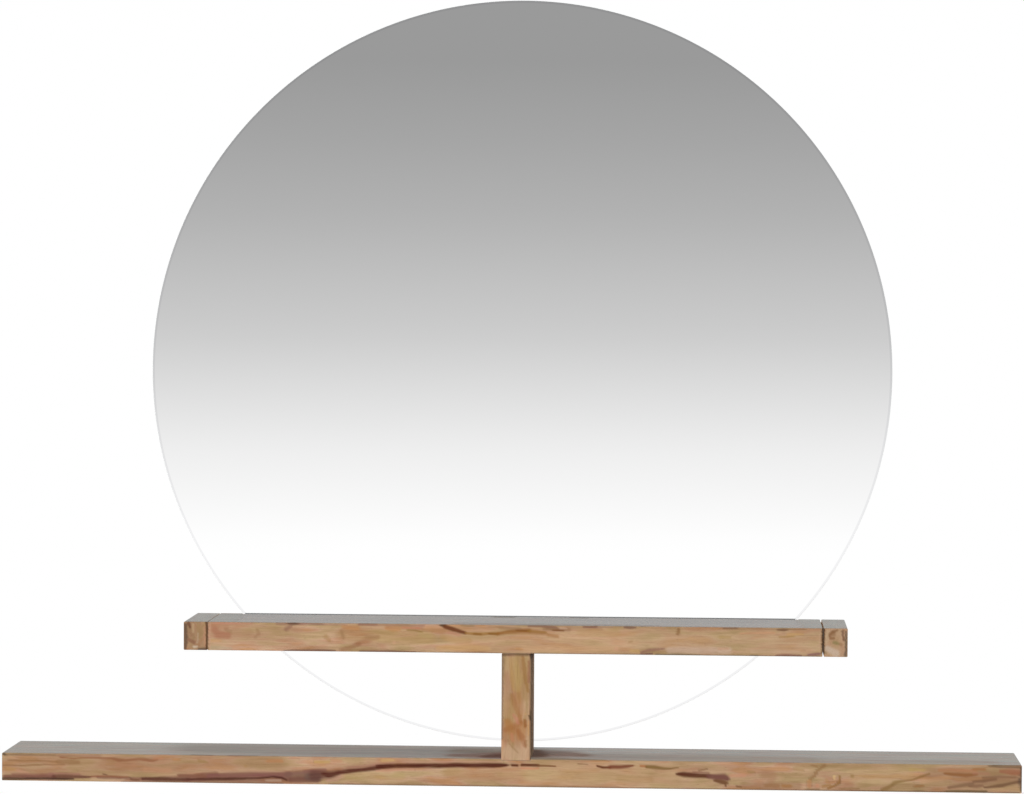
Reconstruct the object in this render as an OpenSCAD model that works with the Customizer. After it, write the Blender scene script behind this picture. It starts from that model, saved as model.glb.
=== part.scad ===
// Round frameless wall mirror, clasped between a two-tier timber shelf and a batten frame.
// Millimetres. +Z is up, the front faces -Y and the wall is the plane y = 0.
// The origin lies on the wall, halfway between the round entries of the two hanger plates.

/* [Mirror] */
// Diameter of the glass
mirror_d = 800; // [640:10:860]
// Thickness of the glass
glass_t = 5; // [4:0.5:8]
// Width of the polished arris round both edges of the glass
glass_arris = 1; // [0.5:0.1:1.5]
// Height of the lowest point of the glass above the ledge
mirror_gap = 7; // [3:0.5:12]
// Thickness of the foam tape that bonds the glass to the battens
tape_t = 1; // [0.5:0.1:2]
// Width of the rubber block that the glass stands on
setting_block_w = 20; // [10:1:26]
// How deep the rubber block is let into the ledge
setting_let_in = 1; // [0.5:0.5:3]

/* [Shelves] */
// How far the timber fronts stand forward of the glass
shelf_reach = 100; // [88:1:160]
// Length of the lower ledge
ledge_l = 1080; // [980:10:1400]
// How far the middle of the ledge lies left of the middle of the mirror
ledge_shift = 5.5; // [0:0.5:15]
// Thickness of the lower ledge
ledge_h = 29.5; // [26:0.5:45]
// Clear height between the ledge and the upper shelf
bay_h = 112; // [90:1:150]
// Thickness of the upper shelf
shelf_h = 30; // [26:1:45]
// Clear space between the edge of the glass and each end block, at the shelf's top
block_clear = 26.5; // [8:0.5:60]
// Clear space between the edge of the glass and the recess cut for it in the back of the shelf
recess_clear = 2; // [1:0.5:4]
// Width of the end block at each end of the shelf
block_w = 25; // [20:1:40]
// Width of the closed joint at the left end block
joint_gap_left = 0.3; // [0.1:0.1:1]
// Width of the open joint at the right end block
joint_gap_right = 1.3; // [0.1:0.1:2.5]
// Width of the post
post_w = 31; // [26:1:60]
// How far the post stands right of the middle of the mirror
post_shift = 2.5; // [0:0.5:10]
// Depth of the post
post_d = 73; // [60:1:84]
// How deep the foot of the post is let into the ledge
post_let_in = 1.5; // [0.5:0.5:4]
// Chamfer on the edges of the show timber
ease = 0.8; // [0.3:0.1:2]
// Thickness of the felt strip between the shelf and the glass
felt_t = 1; // [0.5:0.1:2]
// Height of the felt strip
felt_h = 24; // [12:1:25]
// How far the felt strip stands above the shelf
felt_proud = 1; // [0.2:0.1:2]

/* [Batten frame] */
// Thickness of the battens behind the glass
batten_t = 12; // [10:1:20]
// Width of the upright batten behind the post
stile_w = 26; // [24:1:60]
// Height of the battens behind the ledge and the shelf
rail_h = 22; // [18:1:24]
// Height of the batten that carries the hanger plates
hanger_rail_h = 40; // [38:1:70]
// Length of the batten that carries the hanger plates
hanger_rail_l = 460; // [430:10:520]
// How far the batten behind the ledge stops short of each end of the ledge
ledge_rail_inset = 90; // [60:5:160]
// How far the batten behind the shelf stops short of each end of the shelf
shelf_rail_inset = 5; // [3:1:10]
// Play left on each side of a halving joint
joint_play = 0.1; // [0.05:0.05:0.3]
// Width of the foam tape on the upright batten
stile_tape_w = 20; // [10:1:24]
// Height of the foam tape on the level battens
rail_tape_h = 16; // [8:1:18]

/* [Hanging] */
// Distance between the two hanger plates
hanger_spacing = 400; // [300:10:400]
// Height of the hanger entries above the centre of the glass
hanger_rise = 221; // [150:1:240]
// Thickness of a hanger plate, and so of the wall bumpers
plate_t = 2; // [1.5:0.5:3]
// Width of a hanger plate
plate_w = 24; // [22:1:40]
// Radius of the round entry for the head of a wall screw
entry_r = 6; // [5:0.5:6.5]
// Half width of the slot above the entry
slot_r = 3; // [2:0.25:3]
// Height of the slot's top centre above the entry
slot_rise = 11; // [9:1:16]
// Metal left above the slot
plate_margin = 8; // [5:1:14]
// How far the batten's top lies below the centre of the entry
rail_drop = 9; // [8:1:14]
// How far a plate reaches down its batten
plate_lap = 33; // [30:1:36]
// Distance between the two screws of a plate
plate_screw_pitch = 17; // [14:1:18]
// Diameter of a wall bumper
bumper_d = 12; // [8:1:18]
// How far each bumper lies in from the end of its batten
bumper_inset = 45; // [30:1:70]

/* [Fastenings] */
// Diameter of the dowels
dowel_d = 8; // [6:1:10]
// How far a dowel goes into an end block
dowel_in_block = 16; // [12:1:18]
// How far a dowel goes into the end of the shelf
dowel_in_shelf = 23; // [15:1:40]
// How far a dowel goes up into the underside of the shelf
dowel_up = 18; // [12:1:20]
// How far a dowel goes down into the post
dowel_down = 22; // [15:1:26]
// Distance between the two dowels or screws of a joint, front to back
pair_pitch = 38; // [30:1:40]
// Radial play of dowels, screws and plugs in their holes
hole_play = 0.1; // [0.05:0.05:0.2]
// Diameter of the screws through the battens into the show timber
long_screw_d = 4.5; // [4:0.5:5]
// Length of the screws through the battens into the show timber
long_screw_l = 45; // [35:5:50]
// Diameter of the short screws in the plates and the halving joints
short_screw_d = 3.5; // [3:0.5:4]
// Length of the short screws
short_screw_l = 9; // [8:0.5:9.5]
// Distance between the two screws of a halving joint
joint_screw_pitch = 16; // [12:1:18]
// Distance from the middle to each inner ledge screw
ledge_screw_x = 110; // [60:10:200]
// How far each outer ledge screw lies in from the end of its batten
ledge_screw_inset = 90; // [70:10:150]
// Diameter of the screws up through the ledge into the post
post_screw_d = 5; // [4:0.5:6]
// Length of the screws up through the ledge into the post
post_screw_l = 65; // [50:5:75]
// Diameter of the plugs that hide the heads of the post screws
plug_d = 11; // [10:1:13]
// Thickness of the plugs
plug_t = 5; // [3:0.5:6]

/* [Hidden] */
$fn = 96;

// Play of a cut past the face that it opens
eps = 1;
mirror_r = mirror_d / 2;

// Levels from the wall forward
batten_back_y = -plate_t;
batten_front_y = batten_back_y - batten_t;
halving_y = batten_back_y - batten_t / 2;
glass_back_y = batten_front_y - tape_t;
glass_front_y = glass_back_y - glass_t;
front_y = glass_front_y - shelf_reach;
shelf_back_y = glass_front_y - felt_t;
block_d = batten_front_y - front_y;

// Levels from the glass downward and up again
mirror_z = -hanger_rise;
ledge_top_z = mirror_z - mirror_r - mirror_gap;
ledge_z = ledge_top_z - ledge_h;
shelf_z = ledge_top_z + bay_h;
shelf_top_z = shelf_z + shelf_h;
ledge_mid_z = ledge_z + ledge_h / 2;
shelf_mid_z = shelf_z + shelf_h / 2;
ledge_rail_z = ledge_mid_z - rail_h / 2;
shelf_rail_z = shelf_mid_z - rail_h / 2;
hanger_rail_z = -rail_drop - hanger_rail_h;

// Half the width of the glass at a height
function half_chord(z) = sqrt(pow(mirror_r, 2) - pow(z - mirror_z, 2));

// The end blocks pass the widest part of the glass that the shelf crosses
block_x = half_chord(shelf_top_z) + block_clear;
shelf_l = 2 * (block_x + block_w);
shelf_rail_l = shelf_l - 2 * shelf_rail_inset;
ledge_rail_l = ledge_l - 2 * ledge_rail_inset;
board_left_x = -block_x + joint_gap_left;
board_right_x = block_x - joint_gap_right;
post_x = post_shift - post_w / 2;

// Dowels and post screws stand in pairs about the middle of the post
pair_y = front_y + post_d / 2;
screw_tip = 4;
screw_rim = 0.4;
post_head_d = 2 * post_screw_d;
post_head_h = 3;
post_screw_top = plug_t + post_head_h + post_screw_l;
slot_w = 0.9;
tape_inset = 12;
felt_inset = 1.5;

// Rectangle with its corners cut
module eased_rect(w, h, c) {
    polygon([[c, 0], [w - c, 0], [w, c], [w, h - c], [w - c, h], [c, h], [0, h - c], [0, c]]);
}

// Block from the origin into the positive octant, with every edge chamfered
module eased_block(w, d, h, c) {
    intersection() {
        linear_extrude(h) eased_rect(w, d, c);
        translate([0, d, 0]) rotate([90, 0, 0]) linear_extrude(d) eased_rect(w, h, c);
        rotate([90, 0, 90]) linear_extrude(w) eased_rect(d, h, c);
    }
}

// Turns a shape whose axis is +Z to face the wall
module to_wall() {
    rotate([-90, 0, 0]) children();
}

// Dowel along +Z from the origin
module dowel(l) {
    r = dowel_d / 2;
    c = r / 4;
    rotate_extrude() polygon([[0, 0], [r - c, 0], [r, c], [r, l - c], [r - c, l], [0, l]]);
}

module dowel_hole(l) {
    translate([0, 0, -hole_play]) cylinder(r = dowel_d / 2 + hole_play, h = l + 2 * hole_play);
}

// Countersunk screw that goes down from the origin, with the flat of its head at z = 0
module countersunk_screw(d, l) {
    r = d / 2;
    head_z = -(r + screw_rim);
    difference() {
        rotate_extrude()
            polygon([[0, 0], [d, 0], [d, -screw_rim], [r, head_z], [r, screw_tip - l], [0, -l]]);
        for (turn = [0, 90])
            rotate([0, 0, turn])
                translate([-slot_w / 2, -r, -r * 0.7])
                    cube([slot_w, d, d]);
    }
}

// What that screw needs to be cut away, with play all round
module countersunk_hole(d, l) {
    r = d / 2;
    w = d + hole_play;
    n = r + hole_play;
    head_z = -(r + screw_rim + hole_play);
    bottom = -(l + hole_play);
    rotate_extrude()
        polygon([[0, eps], [w, eps], [w, -screw_rim - hole_play], [n, head_z], [n, bottom], [0, bottom]]);
}

// Places of the paired fastenings, front to back
module at_pair() {
    for (side = [-1, 1])
        translate([0, pair_y + side * pair_pitch / 2, 0]) children();
}

module at_left_dowels() {
    translate([-block_x - dowel_in_block, 0, shelf_mid_z])
        at_pair() rotate([0, 90, 0]) children();
}

module at_right_dowels() {
    translate([block_x + dowel_in_block, 0, shelf_mid_z])
        at_pair() rotate([0, -90, 0]) children();
}

module at_post_dowels() {
    translate([post_shift, 0, shelf_z - dowel_down]) at_pair() children();
}

module at_post_screws() {
    translate([post_shift, 0, ledge_z]) at_pair() children();
}

module at_ledge_rail_screws() {
    for (x = [ledge_screw_x, ledge_rail_l / 2 - ledge_screw_inset], side = [-1, 1])
        translate([side * x, batten_back_y, ledge_mid_z]) to_wall() children();
}

module at_shelf_rail_screws() {
    for (side = [-1, 1])
        translate([side * (block_x + block_w / 2), batten_back_y, shelf_mid_z]) to_wall() children();
}

module at_joint_screws() {
    for (z = [ledge_mid_z, shelf_mid_z, hanger_rail_z + hanger_rail_h / 2], side = [-1, 1])
        translate([side * joint_screw_pitch / 2, batten_back_y, z]) to_wall() children();
}

// The two screws of one plate, centred on its lap over the batten
module at_plate_screws() {
    for (side = [-1, 1])
        translate([0, 0, -rail_drop - plate_lap / 2 + side * plate_screw_pitch / 2]) to_wall() children();
}

module mirror_glass() {
    r = mirror_r;
    a = glass_arris;
    t = glass_t;
    color("silver")
        translate([0, glass_back_y, mirror_z])
            rotate([90, 0, 0])
                rotate_extrude($fn = 240)
                    polygon([[0, 0], [r - a, 0], [r, a], [r, t - a], [r - a, t], [0, t]]);
}

module lower_ledge() {
    color("tan")
        difference() {
            translate([-ledge_l / 2 - ledge_shift, front_y, ledge_z])
                eased_block(ledge_l, block_d, ledge_h, ease);
            // Housing for the foot of the post
            translate([post_x - joint_play, front_y - eps, ledge_top_z - post_let_in])
                cube([post_w + 2 * joint_play, post_d + joint_play + eps, post_let_in + eps]);
            // Seat of the rubber block under the glass
            translate([-setting_block_w / 2, glass_front_y, ledge_top_z - setting_let_in])
                cube([setting_block_w, glass_t, setting_let_in + eps]);
            at_post_screws() {
                translate([0, 0, -eps])
                    cylinder(r = plug_d / 2 + hole_play, h = eps + plug_t + post_head_h);
                cylinder(r = post_screw_d / 2 + hole_play, h = ledge_h);
            }
            at_ledge_rail_screws() countersunk_hole(long_screw_d, long_screw_l);
        }
}

module post() {
    foot_z = ledge_top_z - post_let_in;
    color("peru")
        difference() {
            translate([post_x, front_y, foot_z]) eased_block(post_w, post_d, shelf_z - foot_z, ease);
            at_post_dowels() dowel_hole(dowel_down + eps);
            at_post_screws()
                cylinder(r = post_screw_d / 2 + hole_play, h = post_screw_top + hole_play);
        }
}

module shelf_board() {
    recess_w = 2 * (half_chord(shelf_top_z) + recess_clear);
    color("tan")
        difference() {
            translate([board_left_x, front_y, shelf_z])
                eased_block(board_right_x - board_left_x, block_d, shelf_h, ease);
            // Recess for the glass and its felt strip, between two ears that reach back to the batten
            translate([-recess_w / 2, shelf_back_y, shelf_z - eps])
                cube([recess_w, block_d, shelf_h + 2 * eps]);
            at_left_dowels() dowel_hole(dowel_in_block + dowel_in_shelf);
            at_right_dowels() dowel_hole(dowel_in_block + dowel_in_shelf);
            at_post_dowels() dowel_hole(dowel_down + dowel_up);
        }
}

module shelf_end_block_left() {
    color("burlywood")
        difference() {
            translate([-block_x - block_w, front_y, shelf_z]) eased_block(block_w, block_d, shelf_h, ease);
            at_left_dowels() dowel_hole(dowel_in_block + eps);
            at_shelf_rail_screws() countersunk_hole(long_screw_d, long_screw_l);
        }
}

module shelf_end_block_right() {
    color("burlywood")
        difference() {
            translate([block_x, front_y, shelf_z]) eased_block(block_w, block_d, shelf_h, ease);
            at_right_dowels() dowel_hole(dowel_in_block + eps);
            at_shelf_rail_screws() countersunk_hole(long_screw_d, long_screw_l);
        }
}

module end_block_dowels_left() {
    color("wheat") at_left_dowels() dowel(dowel_in_block + dowel_in_shelf);
}

module end_block_dowels_right() {
    color("wheat") at_right_dowels() dowel(dowel_in_block + dowel_in_shelf);
}

module post_top_dowels() {
    color("wheat") at_post_dowels() dowel(dowel_down + dowel_up);
}

// Round-headed screws that stand on their plugs and go up through the ledge
module post_foot_screws() {
    r = post_screw_d / 2;
    seat = plug_t + post_head_h;
    color("gold")
        at_post_screws()
            rotate_extrude()
                polygon([
                    [0, plug_t],
                    [post_head_d / 2 - r / 2, plug_t],
                    [post_head_d / 2, plug_t + r / 2],
                    [post_head_d / 2, seat],
                    [r, seat],
                    [r, post_screw_top - screw_tip],
                    [0, post_screw_top]
                ]);
}

module post_foot_plugs() {
    color("sienna") at_post_screws() cylinder(r = plug_d / 2, h = plug_t);
}

// Strip that shows as a dark line behind the shelf, with its ends cut to the round of the glass
module shelf_felt_strip() {
    color("dimgray")
        intersection() {
            translate([-mirror_r, shelf_back_y, shelf_top_z + felt_proud - felt_h])
                cube([mirror_d, felt_t, felt_h]);
            translate([0, glass_front_y + eps, mirror_z])
                rotate([90, 0, 0])
                    cylinder(r = mirror_r - felt_inset, h = felt_t + 2 * eps, $fn = 240);
        }
}

// Rubber block let into the ledge behind the post, with its top hollowed to the rim of the glass
module glass_setting_block() {
    color("black")
        difference() {
            translate([-setting_block_w / 2, glass_front_y, ledge_top_z - setting_let_in])
                cube([setting_block_w, glass_t, setting_let_in + mirror_gap + eps]);
            translate([0, glass_back_y + eps, mirror_z])
                rotate([90, 0, 0])
                    cylinder(r = mirror_r + joint_play, h = glass_t + 2 * eps, $fn = 240);
        }
}

// A level batten with the front half cut away where it crosses the upright
module halved_rail(l, z, h) {
    difference() {
        translate([-l / 2, batten_front_y, z]) cube([l, batten_t, h]);
        translate([-stile_w / 2 - joint_play, batten_front_y - eps, z - eps])
            cube([stile_w + 2 * joint_play, batten_t / 2 + eps, h + 2 * eps]);
        at_joint_screws() countersunk_hole(short_screw_d, short_screw_l);
    }
}

// What a level batten takes out of the back half of the upright
module stile_notch(z, h) {
    translate([-stile_w / 2 - eps, halving_y, z - joint_play])
        cube([stile_w + 2 * eps, batten_t / 2 + eps, h + 2 * joint_play]);
}

module centre_stile() {
    color("wheat")
        difference() {
            translate([-stile_w / 2, batten_front_y, ledge_rail_z])
                cube([stile_w, batten_t, hanger_rail_z + hanger_rail_h - ledge_rail_z]);
            stile_notch(ledge_rail_z, rail_h);
            stile_notch(shelf_rail_z, rail_h);
            stile_notch(hanger_rail_z, hanger_rail_h);
            at_joint_screws() countersunk_hole(short_screw_d, short_screw_l);
        }
}

module ledge_rail() {
    color("wheat")
        difference() {
            halved_rail(ledge_rail_l, ledge_rail_z, rail_h);
            at_ledge_rail_screws() countersunk_hole(long_screw_d, long_screw_l);
        }
}

module shelf_rail() {
    color("wheat")
        difference() {
            halved_rail(shelf_rail_l, shelf_rail_z, rail_h);
            at_shelf_rail_screws() countersunk_hole(long_screw_d, long_screw_l);
        }
}

module hanger_rail() {
    color("wheat")
        difference() {
            halved_rail(hanger_rail_l, hanger_rail_z, hanger_rail_h);
            for (side = [-1, 1])
                translate([side * hanger_spacing / 2, 0, 0])
                    at_plate_screws() countersunk_hole(short_screw_d, short_screw_l);
        }
}

module halving_joint_screws() {
    color("gold") at_joint_screws() countersunk_screw(short_screw_d, short_screw_l);
}

module ledge_rail_screws() {
    color("gold") at_ledge_rail_screws() countersunk_screw(long_screw_d, long_screw_l);
}

module shelf_rail_screws() {
    color("gold") at_shelf_rail_screws() countersunk_screw(long_screw_d, long_screw_l);
}

// Steel plate that laps the batten and stands above it, with a keyhole for a wall screw
module hanger_plate() {
    corner = 4;
    low = -rail_drop - plate_lap;
    high = slot_rise + slot_r + plate_margin;
    color("lightgray")
        difference() {
            union() {
                translate([-plate_w / 2, -plate_t, low]) cube([plate_w, plate_t, high - low - corner]);
                translate([-plate_w / 2 + corner, -plate_t, high - corner - eps])
                    cube([plate_w - 2 * corner, plate_t, corner + eps]);
                for (side = [-1, 1])
                    translate([side * (plate_w / 2 - corner), 0, high - corner])
                        rotate([90, 0, 0]) cylinder(r = corner, h = plate_t);
            }
            translate([0, eps, 0]) rotate([90, 0, 0]) cylinder(r = entry_r, h = plate_t + 2 * eps);
            translate([0, eps, slot_rise]) rotate([90, 0, 0]) cylinder(r = slot_r, h = plate_t + 2 * eps);
            translate([-slot_r, -plate_t - eps, 0]) cube([2 * slot_r, plate_t + 2 * eps, slot_rise]);
            at_plate_screws() countersunk_hole(short_screw_d, short_screw_l);
        }
}

module hanger_plate_left() {
    translate([-hanger_spacing / 2, 0, 0]) hanger_plate();
}

module hanger_plate_right() {
    translate([hanger_spacing / 2, 0, 0]) hanger_plate();
}

module hanger_plate_screws() {
    color("gold")
        for (side = [-1, 1])
            translate([side * hanger_spacing / 2, 0, 0])
                at_plate_screws() countersunk_screw(short_screw_d, short_screw_l);
}

module mirror_tape_strips() {
    tape_y = glass_back_y + tape_t / 2;
    first_x = stile_w / 2 + tape_inset;
    hanger_end_x = hanger_rail_l / 2 - tape_inset;
    shelf_end_x = half_chord(shelf_mid_z - rail_tape_h / 2) - tape_inset;
    stile_low_z = shelf_rail_z + rail_h + tape_inset;
    stile_high_z = hanger_rail_z - tape_inset;
    color("white") {
        translate([-stile_tape_w / 2, glass_back_y, stile_low_z])
            cube([stile_tape_w, tape_t, stile_high_z - stile_low_z]);
        for (side = [-1, 1]) {
            translate([side * (first_x + hanger_end_x) / 2, tape_y, hanger_rail_z + hanger_rail_h / 2])
                cube([hanger_end_x - first_x, tape_t, rail_tape_h], center = true);
            translate([side * (first_x + shelf_end_x) / 2, tape_y, shelf_mid_z])
                cube([shelf_end_x - first_x, tape_t, rail_tape_h], center = true);
        }
    }
}

module wall_bumpers() {
    color("dimgray")
        for (rail = [[ledge_rail_l, ledge_mid_z], [shelf_rail_l, shelf_mid_z]], side = [-1, 1])
            translate([side * (rail[0] / 2 - bumper_inset), batten_back_y, rail[1]])
                to_wall() cylinder(r = bumper_d / 2, h = plate_t);
}

mirror_glass();
lower_ledge();
post();
shelf_board();
shelf_end_block_left();
shelf_end_block_right();
end_block_dowels_left();
end_block_dowels_right();
post_top_dowels();
post_foot_screws();
post_foot_plugs();
shelf_felt_strip();
glass_setting_block();
centre_stile();
ledge_rail();
shelf_rail();
hanger_rail();
halving_joint_screws();
ledge_rail_screws();
shelf_rail_screws();
hanger_plate_left();
hanger_plate_right();
hanger_plate_screws();
mirror_tape_strips();
wall_bumpers();
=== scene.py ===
# %% [markdown]
# # Round wall mirror behind a two-tier timber shelf
# A round frameless mirror stands behind a long timber ledge. A shorter shelf crosses the glass on
# one short post, and a batten frame behind the glass carries everything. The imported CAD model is
# the frame of the scene: it says where each part is, and Blender gives each one its looks.

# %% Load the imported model
import math

import bmesh
import bpy
import numpy as np
from mathutils import Matrix, Vector, noise


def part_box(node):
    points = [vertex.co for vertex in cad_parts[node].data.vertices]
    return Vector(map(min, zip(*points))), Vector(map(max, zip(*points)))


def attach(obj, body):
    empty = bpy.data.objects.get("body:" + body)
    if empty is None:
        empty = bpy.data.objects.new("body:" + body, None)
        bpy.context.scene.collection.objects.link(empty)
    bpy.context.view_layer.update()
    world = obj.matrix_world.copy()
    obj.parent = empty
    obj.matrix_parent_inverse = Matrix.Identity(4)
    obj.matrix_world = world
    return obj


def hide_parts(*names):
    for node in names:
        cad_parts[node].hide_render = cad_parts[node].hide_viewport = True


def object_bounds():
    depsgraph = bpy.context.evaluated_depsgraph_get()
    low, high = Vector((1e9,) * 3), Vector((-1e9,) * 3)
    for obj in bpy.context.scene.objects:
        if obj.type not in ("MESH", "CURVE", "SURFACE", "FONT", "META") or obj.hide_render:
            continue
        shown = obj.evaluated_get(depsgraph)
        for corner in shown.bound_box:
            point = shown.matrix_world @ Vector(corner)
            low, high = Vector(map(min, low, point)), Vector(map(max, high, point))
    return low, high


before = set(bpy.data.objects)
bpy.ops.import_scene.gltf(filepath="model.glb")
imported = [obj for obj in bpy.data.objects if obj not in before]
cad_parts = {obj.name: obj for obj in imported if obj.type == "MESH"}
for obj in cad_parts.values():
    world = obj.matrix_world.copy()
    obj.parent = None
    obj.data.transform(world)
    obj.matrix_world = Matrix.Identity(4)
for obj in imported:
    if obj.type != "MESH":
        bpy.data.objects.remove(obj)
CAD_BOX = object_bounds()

print("CAD box in mm", [[round(v * 1000, 1) for v in corner] for corner in CAD_BOX])

# %% [markdown]
# ## Camera
# The photograph was taken from about four metres away, a little to the right of the middle and
# half a metre above the ledge, with a long lens. A camera in Blender looks along its own -Z, so it is
# first tipped up to look along +Y, then turned to the left and tilted. The numbers come from
# matching the corners of the timber and the round of the glass to the photograph.

# %% Set up the camera
MM = 0.001
CAMERA_PLACE = (0.2134, -4.108, -0.119)
YAW, PITCH, ROLL = math.radians(3.115), math.radians(1.807), math.radians(0.318)
LENS, SENSOR = 133.3, 36

camera = bpy.data.objects.new("camera", bpy.data.cameras.new("camera"))
bpy.context.scene.collection.objects.link(camera)
camera.data.lens, camera.data.sensor_width = LENS, SENSOR
camera.data.clip_start, camera.data.clip_end = 0.1, 60
turn = Matrix.Rotation(YAW, 4, "Z") @ Matrix.Rotation(math.pi / 2 - PITCH, 4, "X") @ Matrix.Rotation(ROLL, 4, "Z")
camera.matrix_world = Matrix.Translation(CAMERA_PLACE) @ turn
bpy.context.scene.camera = camera
print("camera", [round(v, 3) for v in camera.location], "lens", LENS)

# %% [markdown]
# ## Colours and nodes
# A hex colour is written in sRGB, as a paint program shows it, but a shader works in linear light.
# One function turns the first into the second. A second function adds a node, sets it up and links
# its inputs in one line, so that each material below reads from top to bottom like a recipe.

# %% Colour and node helpers
def linear(code):
    """Linear RGBA of an sRGB hex colour."""
    steps = [int(code[i:i + 2], 16) / 255 for i in (0, 2, 4)]
    return tuple(c / 12.92 if c <= 0.04045 else ((c + 0.055) / 1.055) ** 2.4 for c in steps) + (1.0,)


def add(tree, kind, settings=None, **inputs):
    """Adds a node. Settings are its properties; inputs are values, nodes or sockets, i0 is the first."""
    node = tree.nodes.new("ShaderNode" + kind)
    for key, value in (settings or {}).items():
        if key == "stops":
            ramp = node.color_ramp
            while len(ramp.elements) < len(value):
                ramp.elements.new(0.5)
            for stop, (place, colour) in zip(ramp.elements, value):
                stop.position, stop.color = place, colour
        else:
            setattr(node, key, value)
    for key, value in inputs.items():
        socket = node.inputs[int(key[1:]) if key[1:].isdigit() else key.replace("_", " ")]
        value = value.outputs[0] if isinstance(value, bpy.types.Node) else value
        if isinstance(value, bpy.types.NodeSocket):
            tree.links.new(value, socket)
        else:
            socket.default_value = value
    return node


def new_material(name):
    """An empty material and its tree, with an output node."""
    material = bpy.data.materials.new(name)
    material.use_nodes = True
    material.node_tree.nodes.clear()
    return material, material.node_tree


print("sRGB 808080 is", round(linear("808080")[0], 3), "in linear light")

# %% [markdown]
# ## Studio
# The light is a plain soft studio: an even pale room, a large soft lamp in front and to the left,
# and a weaker one behind so that the back can be seen. A mirror has no colour of its own, so
# what it shows is the room in front of it: white below eye height, falling off to grey higher up. That
# is the gradient in the photograph. Farther down, where only a higher view looks, the room is a pale
# grey, so that the mirror also stands out there. The camera itself sees plain white behind the object.

# %% Room that the mirror and the camera see
LOW_ROOM = "e0e2e3"
# How far up a ray goes, where 0 is level and 1 is straight up, and the tone that it meets there
ROOM_TONES = [
    (-0.3, LOW_ROOM), (-0.2, "eff0f0"), (-0.14, "ffffff"), (-0.07, "ffffff"), (-0.045, "eeeeee"),
    (-0.015, "cccccc"), (0.016, "b2b2b2"), (0.036, "a5a5a5"), (0.056, "9a9a9a"), (0.074, "9a9a9a"),
    (0.082, "b2b8bb"), (0.094, "cad0d4"), (0.106, "bcc2c6"), (0.127, "989898"), (0.2, "989898"),
    (0.4, "a5a5a5"), (0.8, "c4c4c4"),
]


def build_room():
    """World: white for the camera, tones by height for the mirror, an even pale grey as light."""
    world = bpy.data.worlds.new("studio room")
    world.use_nodes = True
    tree = world.node_tree
    tree.nodes.clear()
    place = add(tree, "TexCoord")
    split = add(tree, "SeparateXYZ", Vector=place.outputs["Generated"])
    low, high = ROOM_TONES[0][0], ROOM_TONES[-1][0]
    height = add(tree, "MapRange", Value=split.outputs["Z"], From_Min=low, From_Max=high)
    stops = [((z - low) / (high - low), linear(tone)) for z, tone in ROOM_TONES]
    tones = add(tree, "ValToRGB", {"stops": stops}, Fac=height)
    # Behind the object the room is an even grey, which the tops of the boards show at a flat angle
    behind = add(tree, "MapRange", {"interpolation_type": "SMOOTHSTEP"}, Value=split.outputs["Y"],
                 From_Min=-0.25, From_Max=0.15)
    seen = add(tree, "MixRGB", Fac=behind, Color1=tones, Color2=linear("a8aeaf"))
    path = add(tree, "LightPath")
    mirrored = add(tree, "Background", Color=seen, Strength=1.0)
    plain = add(tree, "Background", Color=linear("ffffff"), Strength=0.5)
    white = add(tree, "Background", Color=linear("ffffff"), Strength=1.0)
    shine = add(tree, "Math", {"operation": "MAXIMUM"}, i0=path.outputs["Is Glossy Ray"],
                i1=path.outputs["Is Transmission Ray"])
    lit = add(tree, "MixShader", i0=shine, i1=plain, i2=mirrored)
    add(tree, "OutputWorld", Surface=add(tree, "MixShader", i0=path.outputs["Is Camera Ray"], i1=lit, i2=white))
    bpy.context.scene.world = world


build_room()
bpy.context.scene.view_settings.view_transform = "Standard"
print("room tones", len(ROOM_TONES))

# %% Lamps
def soft_lamp(name, place, aim, size, power):
    """A square area lamp that looks at a point. It lights, but neither camera nor mirror sees it."""
    data = bpy.data.lights.new(name, "AREA")
    data.size, data.energy = size, power
    lamp = bpy.data.objects.new(name, data)
    bpy.context.scene.collection.objects.link(lamp)
    way = Vector(aim) - Vector(place)
    lamp.matrix_world = Matrix.Translation(place) @ way.to_track_quat("-Z", "Y").to_matrix().to_4x4()
    lamp.visible_camera = False
    lamp.visible_glossy = False
    print(name, "of", power, "W,", round(way.length, 1), "m away")


soft_lamp("front lamp", place=(-2.2, -4.9, 0.65), aim=(0, 0, -0.35), size=2.8, power=173)
soft_lamp("back lamp", place=(1.8, 3.2, 0.9), aim=(0, 0, -0.3), size=2.4, power=48)

# %% [markdown]
# ## Floor
# The floor is a plain pale sheet one metre under the ledge, as it would be under a mirror on a wall.
# It takes a soft shadow near the object and fades to the white of the room farther out, so no
# horizon cuts the picture.

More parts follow.
